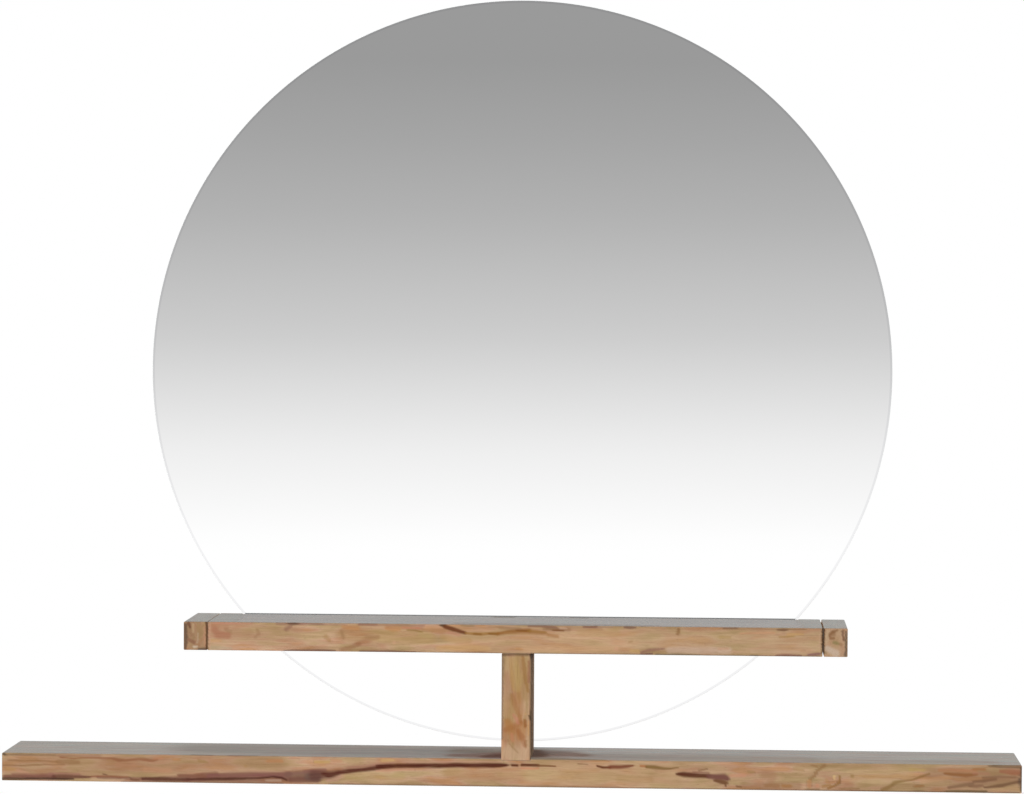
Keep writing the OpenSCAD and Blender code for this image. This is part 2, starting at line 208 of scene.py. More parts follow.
# %% Floor paint
def painted_floor():
    """Matt white paint with a faint speckle. Between 1.9 and 2.9 m from the middle it turns to air."""
    material, tree = new_material("matt white painted floor")
    place = add(tree, "TexCoord")
    far = add(tree, "VectorMath", {"operation": "LENGTH"}, i0=place.outputs["Object"])
    fade = add(tree, "MapRange", {"interpolation_type": "SMOOTHSTEP"}, Value=far.outputs["Value"],
               From_Min=1.9, From_Max=2.9)
    speckle = add(tree, "TexNoise", Vector=place.outputs["Object"], Scale=220.0, Detail=2.0)
    tint = add(tree, "ValToRGB", {"stops": [(0.35, linear("efefed")), (0.65, linear("f5f5f3"))]},
               Fac=speckle)
    paint = add(tree, "BsdfPrincipled", Base_Color=tint, Roughness=0.9, Specular_IOR_Level=0.1)
    path = add(tree, "LightPath")
    room = add(tree, "MixRGB", Fac=path.outputs["Is Camera Ray"], Color1=linear(LOW_ROOM), Color2=linear("ffffff"))
    air = add(tree, "Emission", Color=room, Strength=1.0)
    seen = add(tree, "Math", {"operation": "MAXIMUM"}, i0=path.outputs["Is Camera Ray"],
               i1=path.outputs["Is Glossy Ray"])
    seen = add(tree, "Math", {"operation": "MAXIMUM"}, i0=seen, i1=path.outputs["Is Transmission Ray"])
    fade = add(tree, "Math", {"operation": "MULTIPLY"}, i0=fade, i1=seen)
    add(tree, "OutputMaterial", Surface=add(tree, "MixShader", i0=fade, i1=paint, i2=air))
    return material


# %% Make the floor
def deselect():
    """Leaves edit mode and deselects everything, because an operator acts on all that is selected."""
    if bpy.context.object and bpy.context.object.mode != "OBJECT":
        bpy.ops.object.mode_set(mode="OBJECT")
    bpy.ops.object.select_all(action="DESELECT")


deselect()
FLOOR_R, FLOOR_Z = 3.0, CAD_BOX[0].z - 1.0
bpy.ops.mesh.primitive_circle_add(vertices=96, radius=FLOOR_R, fill_type="NGON", location=(0, 0, FLOOR_Z))
floor = bpy.context.object
floor.name = "floor"
floor.data.materials.append(painted_floor())
print("floor at", round(FLOOR_Z, 3))

# %% [markdown]
# ## Show timber
# The ledge, shelf, post and end blocks are solid hardwood, sawn, sanded and oiled: tan with pink,
# olive and orange patches, and dark heartwood streaks that run with the grain. A board is made as a
# sawmill would: a block of the right size, its edges eased, then cut across many times, because
# the streaks are painted on the mesh and need a fine net to hold them.

# %% Pick edges and cut them across
def pick_edges(test):
    """Selects the edges of the object in edit mode whose way and length pass the test."""
    bpy.ops.mesh.select_mode(type="EDGE")
    bpy.ops.mesh.select_all(action="DESELECT")
    net = bmesh.from_edit_mesh(bpy.context.object.data)
    for edge in net.edges:
        if test(edge.verts[1].co - edge.verts[0].co, edge):
            edge.select_set(True)
    bmesh.update_edit_mesh(bpy.context.object.data)


def cut_across(axis, length, step):
    """Cuts every long edge that runs along an axis into pieces of about one step."""
    count = max(1, round(length / step))
    first = -(-count // 90)
    for pieces in (first, -(-count // first)):
        if pieces > 1:
            pick_edges(lambda way, _: abs(way[axis]) > 0.99 * way.length and way.length > 1.4 * step)
            bpy.ops.mesh.subdivide(number_cuts=pieces - 1)


# %% Board maker
EASE = 0.9


def sawn_board(name, node, steps):
    """A board that fills a CAD node's box, with eased edges and a net of the given steps in mm."""
    low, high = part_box(node)
    size = high - low
    deselect()
    bpy.ops.mesh.primitive_cube_add(size=1, location=(low + high) / 2, scale=size)
    board = bpy.context.object
    board.name = board.data.name = name
    bpy.ops.object.transform_apply(location=True, rotation=True, scale=True)
    bpy.ops.object.mode_set(mode="EDIT")
    bpy.ops.mesh.select_all(action="SELECT")
    bpy.ops.mesh.bevel(offset=EASE * MM, segments=2, affect="EDGES")
    for axis in range(3):
        cut_across(axis, size[axis], steps[axis] * MM)
    bpy.ops.object.mode_set(mode="OBJECT")
    return board


print("boards have their edges eased by", EASE, "mm")

# %% [markdown]
# A boolean modifier takes out what another part sits in. The cutter is a plain shape, and it is
# thrown away once the modifier is applied.

# %% Cut with another shape
PAST = 2 * MM  # how far a cutter reaches past the faces that it cuts through


def work_on(piece):
    """Deselects everything and picks one piece."""
    deselect()
    bpy.context.view_layer.objects.active = piece
    piece.select_set(True)


def cut_out(piece, cutter):
    """Takes the cutter's shape out of a piece."""
    work_on(piece)
    cut = piece.modifiers.new("cut", "BOOLEAN")
    cut.operation, cut.solver, cut.object = "DIFFERENCE", "EXACT", cutter
    bpy.ops.object.modifier_apply(modifier=cut.name)
    bpy.data.objects.remove(cutter)


def round_cutter(place, radius, depth):
    """An upright cylinder with its middle at a place."""
    deselect()
    bpy.ops.mesh.primitive_cylinder_add(vertices=48, radius=radius, depth=depth, location=place)
    return bpy.context.object


def block_cutter(low, high):
    """A block between two corners."""
    deselect()
    bpy.ops.mesh.primitive_cube_add(size=1, location=(low + high) / 2, scale=high - low)
    return bpy.context.object


# %% [markdown]
# ## Heartwood streaks and painted shade
# Each streak of the real boards is a brush stroke here: a colour, a strength, and a line of points
# with a half width, all in millimetres on the front, top or side of the board. Some strokes are
# painted light instead: painted shade along lower arrises, the post's painted shadow and reflection
# on the ledge, painted shade on the post, and painted highlights on arrises at the joints. A little
# noise bends every stroke, so that its edges look grown and not drawn. The result is stored on the
# mesh as a colour attribute, and the wood shader lays it over the plain grain.

# %% Paint strokes on a board
FACES = {"front": (0, 2), "top": (0, 1), "side": (1, 2)}
FULL, GONE = 0.4, 1.5  # a stroke is full up to 0.4 of its half width, and gone at 1.5 of it


def wobble(points, size, seed):
    """Smooth noise between -1 and 1 for each point, drawn out along the board."""
    return np.array([noise.noise(Vector((p[0] / size, p[1] / size * 4.0, seed))) for p in points])


def paint(piece, face, strokes, reach=1.0):
    """Lays strokes of heartwood and of painted shade over one face of a piece, down to a reach in mm, in the
    attribute named figure.
    """
    mesh = piece.data
    if "figure" not in mesh.color_attributes:
        mesh.color_attributes.new("figure", "FLOAT_COLOR", "POINT")
        mesh.color_attributes["figure"].data.foreach_set("color", np.zeros(4 * len(mesh.vertices), np.float32))
    layer = mesh.color_attributes["figure"]
    spots = np.empty(3 * len(mesh.vertices), np.float32)
    mesh.vertices.foreach_get("co", spots)
    spots = spots.reshape(-1, 3) * 1000
    colour = np.empty(4 * len(mesh.vertices), np.float32)
    layer.data.foreach_get("color", colour)
    colour = colour.reshape(-1, 4)
    depth = {"front": spots[:, 1] - spots[:, 1].min(), "top": spots[:, 2].max() - spots[:, 2],
             "side": spots[:, 0].max() - spots[:, 0]}[face]
    here = np.nonzero(depth < reach)[0]
    flat = spots[here][:, FACES[face]]
    # The noise shifts a stroke by up to 0.9 mm along the board and 0.5 mm across
    bent = flat + np.stack([0.9 * wobble(flat, 9.0, 3.0), 0.5 * wobble(flat, 14.0, 11.0)], 1)
    for code, strength, line in strokes:
        line = np.array(line, float)
        near = np.full(len(here), np.inf)
        for a, b in zip(line[:-1], line[1:]) if len(line) > 1 else [(line[0], line[0])]:
            way = b[:2] - a[:2]
            part = np.clip(((bent - a[:2]) @ way) / max(way @ way, 1e-9), 0, 1)
            radius = a[2] + (b[2] - a[2]) * part
            gap = np.linalg.norm(bent - a[:2] - part[:, None] * way, axis=1) / radius
            near = np.minimum(near, gap)
        cover = np.clip((GONE - near) / (GONE - FULL), 0, 1)
        cover = strength * cover * cover * (3 - 2 * cover)
        old = colour[here]
        total = cover + old[:, 3] * (1 - cover)
        mixed = np.array(linear(code)[:3]) * cover[:, None] + old[:, :3] * (old[:, 3] * (1 - cover))[:, None]
        fresh = np.where(total[:, None] > 1e-4, mixed / np.maximum(total, 1e-4)[:, None], old[:, :3])
        colour[here] = np.concatenate([fresh, total[:, None]], 1)
    layer.data.foreach_set("color", colour.astype(np.float32).ravel())
    print(piece.name, face, "has", len(strokes), "strokes")


# %% [markdown]
# ## Wood in millimetres
# Every wood here is a solid pattern in Object coordinates, so its grain runs through front, top and
# end as in a real board. The coordinates are turned, so that X runs along the grain, and are scaled to
# millimetres, so that each pattern below is set by its real size. End grain is where the surface
# faces along the grain.

# %% Turn the coordinates along the grain
def along_grain(tree, grain):
    """Coordinates in mm with X along the grain, the way the surface faces, and the share of end grain."""
    place = add(tree, "TexCoord")
    split = add(tree, "SeparateXYZ", Vector=place.outputs["Object"])
    order = {"X": "XYZ", "Y": "YZX", "Z": "ZXY"}[grain]
    turned = add(tree, "CombineXYZ", **{axis: split.outputs[source] for axis, source in zip("XYZ", order)})
    mm = add(tree, "VectorMath", {"operation": "SCALE"}, i0=turned, Scale=1000.0)
    facing = add(tree, "SeparateXYZ", Vector=place.outputs["Normal"])
    ends = add(tree, "Math", {"operation": "ABSOLUTE"}, i0=facing.outputs[grain])
    ends = add(tree, "MapRange", {"interpolation_type": "SMOOTHSTEP"}, Value=ends, From_Min=0.6, From_Max=0.9)
    return mm, facing, ends


# %% [markdown]
# ## Rings and patches of the hardwood
# Yearly rings are layers round a far centre, bent by slow noise, because no log is straight. Under
# them the wood changes between olive, sand, pink and orange in long patches, and is lighter and
# darker in wider areas. All three are noise, squeezed to the size of what it stands for.

# %% Rings and patches
def rings_and_patches(tree, mm, centre):
    """The bent coordinates, the noise of the patches and the colour of rings and patches together."""
    # The log was never straight: slow noise bends the layers by up to 6 mm
    slow = add(tree, "Mapping", Vector=mm, Scale=(1 / 190, 1 / 55, 1 / 55))
    bend = add(tree, "TexNoise", Vector=slow, Scale=1.0, Detail=2.0)
    bend = add(tree, "VectorMath", {"operation": "MULTIPLY_ADD"}, i0=bend.outputs["Color"],
               i1=(0.0, 12.0, 12.0), i2=(0.0, -6.0, -6.0))
    bent = add(tree, "VectorMath", {"operation": "ADD"}, i0=mm, i1=bend)

    # Rings: layers about 5 mm apart round the centre of the log
    apart = add(tree, "VectorMath", {"operation": "SUBTRACT"}, i0=bent, i1=centre)
    flat = add(tree, "VectorMath", {"operation": "MULTIPLY"}, i0=apart, i1=(0.0, 1.0, 1.0))
    radius = add(tree, "VectorMath", {"operation": "LENGTH"}, i0=flat)
    along = add(tree, "SeparateXYZ", Vector=bent)
    layers = add(tree, "CombineXYZ", X=radius.outputs["Value"], Y=along.outputs["X"])
    layers = add(tree, "Mapping", Vector=layers, Scale=(1 / 4.6, 1 / 260, 1.0))
    ring = add(tree, "TexNoise", Vector=layers, Scale=1.0, Detail=3.0, Roughness=0.55)

    # Patches of olive, sand, pink and orange, some 40 mm long and 8 mm wide, in lighter and darker areas
    patch = add(tree, "Mapping", Vector=bent, Scale=(1 / 38, 1 / 9, 1 / 8))
    patch = add(tree, "TexNoise", Vector=patch, Scale=1.0, Detail=2.0, Roughness=0.5)
    body = add(tree, "ValToRGB", {"stops": [
        (0.34, linear("b79c74")), (0.43, linear("c0a17c")), (0.51, linear("c7a586")),
        (0.59, linear("c49a7e")), (0.68, linear("c2946e"))]}, Fac=patch)
    area = add(tree, "Mapping", Vector=bent, Scale=(1 / 95, 1 / 16, 1 / 14), Location=(7.0, 3.0, 5.0))
    area = add(tree, "TexNoise", Vector=area, Scale=1.0, Detail=2.0)
    area = add(tree, "ValToRGB", {"stops": [(0.36, linear("e3dcd4")), (0.6, linear("ffffff"))]}, Fac=area)
    body = add(tree, "MixRGB", {"blend_type": "MULTIPLY"}, Fac=1.0, Color1=body, Color2=area)
    rings = add(tree, "ValToRGB", {"stops": [
        (0.38, linear("000000")), (0.47, linear("828282")), (0.54, linear("282828")), (0.64, linear("000000"))]},
                Fac=ring)
    late = add(tree, "MixRGB", Fac=rings, Color1=body, Color2=linear("94704a"))
    return bent, patch, late


# %% [markdown]
# ## Fibres and pores of the hardwood
# Fibres are noise drawn out along the grain: 26 mm long and half a millimetre wide. Pores are the
# darkest spots of a shorter noise. Real ones are about 0.2 mm wide, and both are drawn a little
# coarser than life so that they show.

# %% Fibres and pores
def fibres_and_pores(tree, bent, late):
    """The noise of the fibres, its shade, the strength of the pores and the wood with both."""
    thread = add(tree, "Mapping", Vector=bent, Scale=(1 / 26, 1 / 0.5, 1 / 0.5))
    fibre = add(tree, "TexNoise", Vector=thread, Scale=1.0, Detail=3.0, Roughness=0.65)
    shade = add(tree, "ValToRGB", {"stops": [
        (0.3, linear("ddd7cf")), (0.5, linear("f6f4f0")), (0.7, linear("ffffff"))]}, Fac=fibre)
    wood = add(tree, "MixRGB", {"blend_type": "MULTIPLY"}, Fac=0.7, Color1=late, Color2=shade)
    tube = add(tree, "Mapping", Vector=bent, Scale=(1 / 5.5, 1 / 0.42, 1 / 0.42))
    pore = add(tree, "TexNoise", Vector=tube, Scale=1.0, Detail=1.0)
    pore = add(tree, "ValToRGB", {"stops": [(0.66, (0, 0, 0, 1)), (0.74, (1, 1, 1, 1))]}, Fac=pore)
    pored = add(tree, "Math", {"operation": "MULTIPLY"}, i0=pore, i1=0.45)
    wood = add(tree, "MixRGB", Fac=pored, Color1=wood, Color2=linear("6e4c30"))
    return fibre, shade, pored, wood


# %% [markdown]
# ## Oiled hardwood
# The strokes are laid over rings, patches, fibres and pores, and the finish comes last. Oil fills the
# pores and leaves a silk gloss, which turns the tops pale when they are seen at a flat angle, while
# the fronts keep their full colour. Each board gets its own centre of rings, so that no two show
# the same grain.

# %% Make the hardwood
def oiled_hardwood(name, grain, centre):
    """Hardwood whose grain runs along X, Y or Z. Centre is where its rings start, in mm."""
    material, tree = new_material(name)
    mm, facing, ends = along_grain(tree, grain)
    bent, patch, late = rings_and_patches(tree, mm, centre)
    fibre, shade, pored, wood = fibres_and_pores(tree, bent, late)

    # End grain drinks more oil and turns darker
    dark = add(tree, "MixRGB", {"blend_type": "MULTIPLY"}, Fac=1.0, Color1=wood, Color2=linear("efe5d8"))
    wood = add(tree, "MixRGB", Fac=ends, Color1=wood, Color2=dark)

    # The painted strokes, broken up by the fibres: heartwood streaks, and painted shade, shadow and highlight
    figure = add(tree, "Attribute", {"attribute_name": "figure"})
    broken = add(tree, "MapRange", Value=fibre, From_Min=0.3, From_Max=0.7, To_Min=0.82, To_Max=1.12)
    amount = add(tree, "Math", {"operation": "MULTIPLY", "use_clamp": True}, i0=figure.outputs["Alpha"], i1=broken)
    streak = add(tree, "MixRGB", {"blend_type": "MULTIPLY"}, Fac=0.8, Color1=figure.outputs["Color"], Color2=shade)
    wood = add(tree, "MixRGB", Fac=amount, Color1=wood, Color2=streak)

    # Tops are rubbed down with oil again and again and get a coat; fronts and sides stay nearly dry
    top = add(tree, "MapRange", {"interpolation_type": "SMOOTHSTEP"}, Value=facing.outputs["Z"],
              From_Min=0.5, From_Max=0.95)
    dry = add(tree, "MapRange", Value=patch, From_Min=0.3, From_Max=0.7, To_Min=0.62, To_Max=0.8)
    gloss = add(tree, "Math", {"operation": "MULTIPLY_ADD"}, i0=top, i1=-0.4, i2=dry)
    # Under strokes on a top, which there are mostly painted shadow, shade and reflection, gloss and coat are taken
    # away, so that the painted shade is not washed out by the sheen
    gloss = add(tree, "MixRGB", Fac=figure.outputs["Alpha"], Color1=gloss, Color2=linear("f0f0f0"))
    coat_left_under_strokes = add(tree, "Math", {"operation": "MULTIPLY_ADD"}, i0=figure.outputs["Alpha"], i1=-0.9, i2=1.0)
    coat = add(tree, "Math", {"operation": "MULTIPLY"}, i0=top, i1=coat_left_under_strokes)
    relief = add(tree, "Math", {"operation": "SUBTRACT"}, i0=fibre, i1=pored)
    bump = add(tree, "Bump", Strength=0.3, Distance=0.0002, Height=relief)
    finish = add(tree, "BsdfPrincipled", Base_Color=wood, Roughness=gloss, Normal=bump, IOR=1.3,
                 Coat_Weight=coat, Coat_Roughness=0.12, Coat_IOR=1.6)
    add(tree, "OutputMaterial", Surface=finish)
    return material


HARDWOOD = {
    "long": oiled_hardwood("oiled hardwood along X", "X", (0.0, 70.0, -760.0)),
    "upper": oiled_hardwood("oiled hardwood along X, upper board", "X", (0.0, -210.0, -590.0)),
    "upright": oiled_hardwood("oiled hardwood along Z", "Z", (0.0, -60.0, -40.0)),
    "end": oiled_hardwood("oiled hardwood along Y", "Y", (0.0, -540.0, -395.0)),
    "end right": oiled_hardwood("oiled hardwood along Y, right", "Y", (0.0, -478.0, 300.0)),
}
print("hardwood for", ", ".join(HARDWOOD))

# %% [markdown]
# ## Lower ledge
# The long board under everything. Two plugs hide the screws that come up into the post, and the
# post stands in a shallow housing. What is out of sight, such as the seat of the rubber block and
# the pilot holes of the screws, is left to the CAD model. The front is browner at the left, has
# a dark maroon band along the bottom that swells and then runs up into one long thin streak, and
# ends in slanted grain and a knot at the right. Its lower arris carries a line of painted shade,
# and its top a painted blue-grey shade left of the post and the post's painted shadow and
# reflection round its foot.

# %% Strokes on the ledge
# Colour, strength and points, each with x, height and half width in mm. On a top, the second is depth
LEDGE_FRONT = [
    ("cdab82", 0.40, [(20, -643, 12), (165, -643, 12)]),
    ("94714f", 0.45, [(-538, -640, 11), (-420, -640, 11)]),
    ("a07a5c", 0.40, [(-420, -640, 10), (-250, -637, 9)]),
    ("8f6a4a", 0.38, [(445, -640, 11), (530, -640, 12)]),
    ("b08558", 0.40, [(-68, -644, 6), (8, -644, 7)]),
    ("b39c68", 0.50, [(-176, -648, 4), (-150, -647.5, 4.5), (-118, -648, 4)]),
    ("a8875a", 0.40, [(112, -648, 4), (145, -648, 4)]),
    ("b3986a", 0.35, [(15, -646, 5), (60, -645, 7), (90, -646, 5)]),
    ("b59a6a", 0.40, [(362, -641, 9), (415, -638, 8)]),
    ("6a4038", 0.62, [(-442, -653.4, 1.4), (-400, -654, 2.2), (-372, -654.2, 3.2), (-350, -654, 4),
                      (-325, -653, 4.4), (-296, -652.4, 4.8), (-262, -652, 5), (-240, -651, 5)]),
    ("7c4838", 0.45, [(-214, -646, 4), (-194, -644.4, 3.6), (-176, -641.2, 3.2), (-152, -638.6, 3), (-130, -637, 3)]),
    ("8a4630", 0.25, [(-122, -633.6, 4.5), (-20, -633.2, 4.5)]),
    ("7f5838", 0.40, [(244, -652.4, 4.5), (300, -652.4, 4.5)]),
    ("8f6b45", 0.22, [(150, -646, 8), (170, -646, 8)]),
    ("c0936a", 0.45, [(430, -646, 2.5), (448, -643, 3), (460, -641, 2)]),
    ("ad7d60", 0.50, [(-422, -639.5, 3.2), (-404, -639.5, 3.2)]),
    ("b98a6a", 0.50, [(-392, -644.5, 3), (-366, -644.5, 3.5)]),
    ("b58c5c", 0.45, [(-540, -645.5, 2), (-531, -645.5, 2)]),
    ("bf8f76", 0.50, [(-529, -646.5, 2), (-516, -650, 1.6)]),
    ("554638", 0.90, [(-544, -629, 1.4), (-541.5, -630, 1.2)]),
    ("7a6046", 0.70, [(-540, -629.6, 0.9), (-515, -629.8, 1.1), (-488, -629.8, 0.9)]),
    ("98705c", 0.60, [(-486, -630, 1.2), (-440, -630, 1.2)]),
    ("bd8f6c", 0.55, [(-539, -633, 1.4), (-532, -633, 1.3)]),
    ("8f6a48", 0.75, [(-538, -636.2, 0.9), (-510, -636, 1), (-486, -636.6, 1)]),
    ("8c6848", 0.75, [(-545, -641.4, 1), (-518, -641, 1), (-500, -640, 1), (-478, -639.8, 0.8)]),
    ("8d6844", 0.65, [(-485, -636.5, 2.4), (-474, -637, 3.2), (-463, -637, 2.2)]),
    ("8d5c40", 0.80, [(-483, -631.8, 0.9), (-470, -632.8, 0.9), (-444, -632, 0.9), (-428, -632.4, 1.3),
                      (-420, -634.3, 1.7), (-413, -634, 1.3), (-398, -633, 1.2), (-390, -633.6, 1.5),
                      (-384, -634.6, 1.5), (-379, -633.4, 1)]),
    ("b98060", 0.60, [(-382, -632, 1.4), (-373, -632, 1.2)]),
    ("96764a", 0.60, [(-335, -633.5, 1.8), (-328, -634.8, 1.8), (-325, -636, 1)]),
    ("b17c50", 0.60, [(-362, -632.5, 1.6), (-355, -632.5, 1.4)]),
    ("b37b4e", 0.60, [(-261, -633, 2), (-246, -633, 2)]),
    ("ab8654", 0.55, [(-285, -639, 1.9)]),
    ("bd9c56", 0.60, [(-211, -633.4, 1.6), (-196, -633.4, 1.6)]),
    ("bd8566", 0.55, [(-192, -632, 1.8), (-183, -632.5, 1.8)]),
    ("8a5c50", 0.60, [(-534, -650.6, 1.6), (-512, -651, 1.6), (-492, -650.4, 1.8)]),
    ("754840", 0.85, [(-543, -653.2, 2.2), (-527, -653, 2), (-512, -653.4, 2.2), (-490, -653, 2.6)]),
    ("96655c", 0.60, [(-494, -649.8, 1.4), (-478, -649.6, 1.6), (-462, -649.8, 1.4)]),
    ("643a31", 0.90, [(-490, -653, 2.4), (-476, -652.8, 2.6), (-464, -652.6, 1.9), (-450, -652.4, 1)]),
    ("3d241e", 0.85, [(-545, -655.6, 1.4), (-510, -655.2, 1.5), (-486, -655, 1.5), (-468, -655.2, 0.9)]),
    ("854e3a", 0.80, [(-450, -652, 0.9), (-430, -651.8, 0.9), (-411, -652, 0.9)]),
    ("bc9c80", 0.60, [(-450, -655.2, 1.1), (-414, -655.2, 1.1)]),
    ("6a4634", 0.75, [(-437, -649.2, 0.9), (-432, -650.2, 0.8)]),
    ("6a4634", 0.75, [(-408, -652.5, 1), (-407, -654.8, 1), (-398, -655, 0.9)]),
    ("593228", 0.92, [(-395, -653.8, 1.6), (-376, -653.8, 2.3), (-360, -654, 2.2), (-345, -653.8, 2)]),
    ("784a3c", 0.78, [(-356, -649.8, 1.6), (-341, -649.8, 2), (-330, -649, 2.8), (-316, -648.5, 3.4)]),
    ("80524c", 0.88, [(-324, -649.8, 2.4), (-300, -648.8, 3.2), (-275, -648, 3.2), (-250, -647.6, 2.8),
                      (-238, -647, 3)]),
    ("643a31", 0.85, [(-347, -654, 1.8), (-320, -653.4, 1.8), (-300, -652.8, 1.6), (-284, -652.2, 1)]),
    ("502a22", 0.90, [(-347, -653.4, 1), (-320, -653, 1.1), (-296, -652.4, 1.2), (-270, -651.6, 1.1),
                      (-256, -649.8, 1.2), (-246, -650.6, 1.3), (-241, -653, 1.4)]),
    ("b59682", 0.70, [(-262, -653.8, 1.2), (-247, -653.8, 1.2)]),
    ("7a564c", 0.85, [(-240, -647.6, 3.6), (-225, -647.2, 4.4), (-208, -646.8, 4.6)]),
    ("6f473e", 0.90, [(-237, -653, 2.6), (-220, -652.6, 3.4), (-208, -652.4, 3.4)]),
    ("655049", 0.65, [(-218, -649.5, 4), (-207, -650, 4)]),
    ("82574f", 0.70, [(-222, -643.6, 1.6), (-212, -642.8, 2.2), (-200, -641.8, 1.9)]),
    ("b8907a", 0.80, [(-197, -653, 2), (-188, -652, 2.2), (-184, -648.6, 1.8)]),
    ("5f3a34", 0.80, [(-212, -648, 5.5), (-203, -647.4, 5), (-194, -646.8, 4), (-186, -644.8, 2.8)]),
    ("54261c", 0.95, [(-202, -646, 1.9), (-196, -647.6, 2.1), (-190, -646.4, 2.1), (-184, -644.4, 2.2),
                      (-174, -642.8, 2.3), (-160, -641.2, 2.4), (-148, -639.6, 2.5), (-141, -638, 2.6)]),
    ("a06e60", 0.45, [(-176, -639, 1.8), (-150, -636.2, 1.8), (-128, -633.6, 1.2)]),
    ("c49074", 0.60, [(-146, -642.6, 1.2), (-124, -640.6, 1.5), (-105, -640.2, 1.2)]),
    ("cba872", 0.60, [(-139, -630.8, 1.6), (-127, -630.8, 1.4)]),
    ("bf9480", 0.45, [(-118, -632.4, 1.1), (-60, -631.4, 1.2), (-12, -631, 1.2)]),
    ("4d1e12", 0.97, [(-144, -638, 2.2), (-136, -637.6, 2.7), (-124, -636.6, 2.7), (-104, -636.2, 2.5),
                      (-92, -636, 2.7), (-70, -635.6, 2.5), (-56, -635, 2.6), (-46, -635.2, 2.4), (-36, -635, 2.7),
                      (-14, -634.6, 2.4), (-6, -634.4, 1.4)]),
    ("55260f", 0.95, [(-1.5, -634.4, 1.5), (4.5, -634.6, 1.5)]),
    ("55260f", 0.97, [(9, -634, 1.7), (26, -634.2, 1.8)]),
    ("724628", 0.90, [(27, -634.6, 1.4), (38, -634.8, 1.2), (45, -634.8, 0.7)]),
    ("c98a6a", 0.75, [(9, -637.6, 1.2), (20, -637.8, 1.3), (27, -637.2, 1)]),
    ("c0a184", 0.45, [(75, -631.2, 1), (175, -631.2, 1.1)]),
    ("7d5c40", 0.65, [(68, -632, 0.8), (78, -632.4, 0.8)]),
    ("63351f", 0.95, [(88.5, -634, 1.2), (95, -635.4, 1.5), (102, -635.6, 1.4)]),
    ("743a28", 0.93, [(102, -635.2, 2.1), (114, -634.8, 2), (122, -634, 1.7), (127, -633.2, 1)]),
    ("a5643a", 0.75, [(134, -633.4, 1.3), (140, -633.8, 1.2)]),
    ("7a5c32", 0.85, [(141, -634.2, 1.8), (149, -634.8, 2.1), (158, -635.8, 1.7), (166, -636, 1.2),
                      (174, -634.8, 0.9)]),
    ("552818", 0.96, [(173, -641.8, 1.6), (180, -641.8, 3), (187, -642.2, 2.8), (196, -643, 2.4),
                      (206, -643.4, 2.4)]),
    ("8a6252", 0.70, [(190, -639.2, 1.2), (206, -639.8, 1.4)]),
    ("714740", 0.93, [(206, -643.6, 2.4), (214, -644.2, 3.4), (222, -644.2, 4), (226, -645.6, 3)]),
    ("6a4228", 0.90, [(213, -648, 1.6), (220, -649.4, 2.4), (225, -650.4, 2), (224, -653.8, 0.9)]),
    ("80603f", 0.70, [(196, -637.4, 0.8), (204, -636, 0.8)]),
    ("c58c70", 0.60, [(230, -642.5, 2), (244, -642, 2)]),
    ("765434", 0.80, [(236, -653.6, 1.3), (240, -654.2, 1.1)]),
    ("94794c", 0.55, [(248, -638.4, 1.4), (253, -638.6, 1.4)]),
    ("a4785c", 0.55, [(265, -641, 5), (273, -642, 5), (271, -648, 4)]),
    ("956842", 0.65, [(266, -652.6, 2.2), (279, -652.6, 2.4)]),
    ("a06c3a", 0.65, [(284, -652.6, 2), (292, -652.8, 2)]),
    ("a0804e", 0.50, [(296, -635, 1.6), (306, -636, 1.4)]),
    ("8c6640", 0.65, [(328, -630.5, 1.9), (324, -633, 1.5), (319, -638, 1.6), (317, -642, 1.6), (313.5, -645, 2)]),
    ("916a44", 0.55, [(315, -630.6, 1.2), (320, -632, 1.2)]),
    ("b2794c", 0.60, [(312, -648, 2.6), (312, -653, 2.6)]),
    ("c78c6c", 0.65, [(321, -652, 2.2)]),
    ("a27240", 0.60, [(326, -653, 1.6), (334, -651, 1.8)]),
    ("ad8450", 0.50, [(330, -646.5, 2.6)]),
    ("92693a", 0.90, [(343, -640.5, 0.9), (344, -644, 1.4), (343, -648.6, 1.5), (339, -652, 1.2), (332, -654.6, 1)]),
    ("d6b482", 0.90, [(338.2, -642.2, 1.7), (338.6, -645, 1.2)]),
    ("967848", 0.70, [(357.5, -641.5, 2)]),
    ("7b6244", 0.70, [(309, -655.8, 1.1), (322, -655.8, 1)]),
    ("87683f", 0.60, [(345, -655, 0.9), (364, -654.6, 1)]),
    ("bba05a", 0.40, [(418, -633.8, 2), (432, -634.4, 1.8)]),
    ("81612f", 0.65, [(389, -655.4, 1.9), (396, -652.4, 2.2), (401, -648, 2), (408, -646.4, 1.5), (420, -644.6, 1.1),
                      (428, -641.6, 1.4), (438, -638, 1.4)]),
    ("946840", 0.75, [(423, -651.4, 1.4), (431, -650.6, 1.3)]),
    ("b27850", 0.50, [(448, -634.4, 1.6), (462, -634, 2.4), (486, -634.6, 2.2)]),
    ("8c5830", 0.80, [(453, -637.4, 1.1), (464, -638.4, 1.9), (476, -639, 2.2), (488, -638, 1.3)]),
    ("a06438", 0.60, [(483, -632.4, 1.3), (496, -632.6, 1.5)]),
    ("b07a66", 0.45, [(484, -636.6, 1.6), (500, -637.4, 1.8)]),
    ("9b5a44", 0.65, [(512, -634.2, 1.8), (522, -635, 3), (531, -636, 3.2)]),
    ("68543f", 0.70, [(500, -629, 0.9), (512, -629.6, 1.4), (533, -630, 1.5)]),
    ("967458", 0.55, [(460, -651, 2.4), (484, -648, 3), (505, -645, 3.4), (528, -642.5, 3)]),
    ("7a5a44", 0.62, [(458, -652.4, 1.4), (470, -650.2, 1.9), (484, -647.6, 1.4)]),
    ("76543e", 0.70, [(484, -645.6, 1.2), (494, -644.8, 1.8), (508, -642.8, 1.4)]),
    ("7c5a42", 0.62, [(494, -641.4, 1.3), (512, -639.8, 1.7), (528, -640.2, 1.5)]),
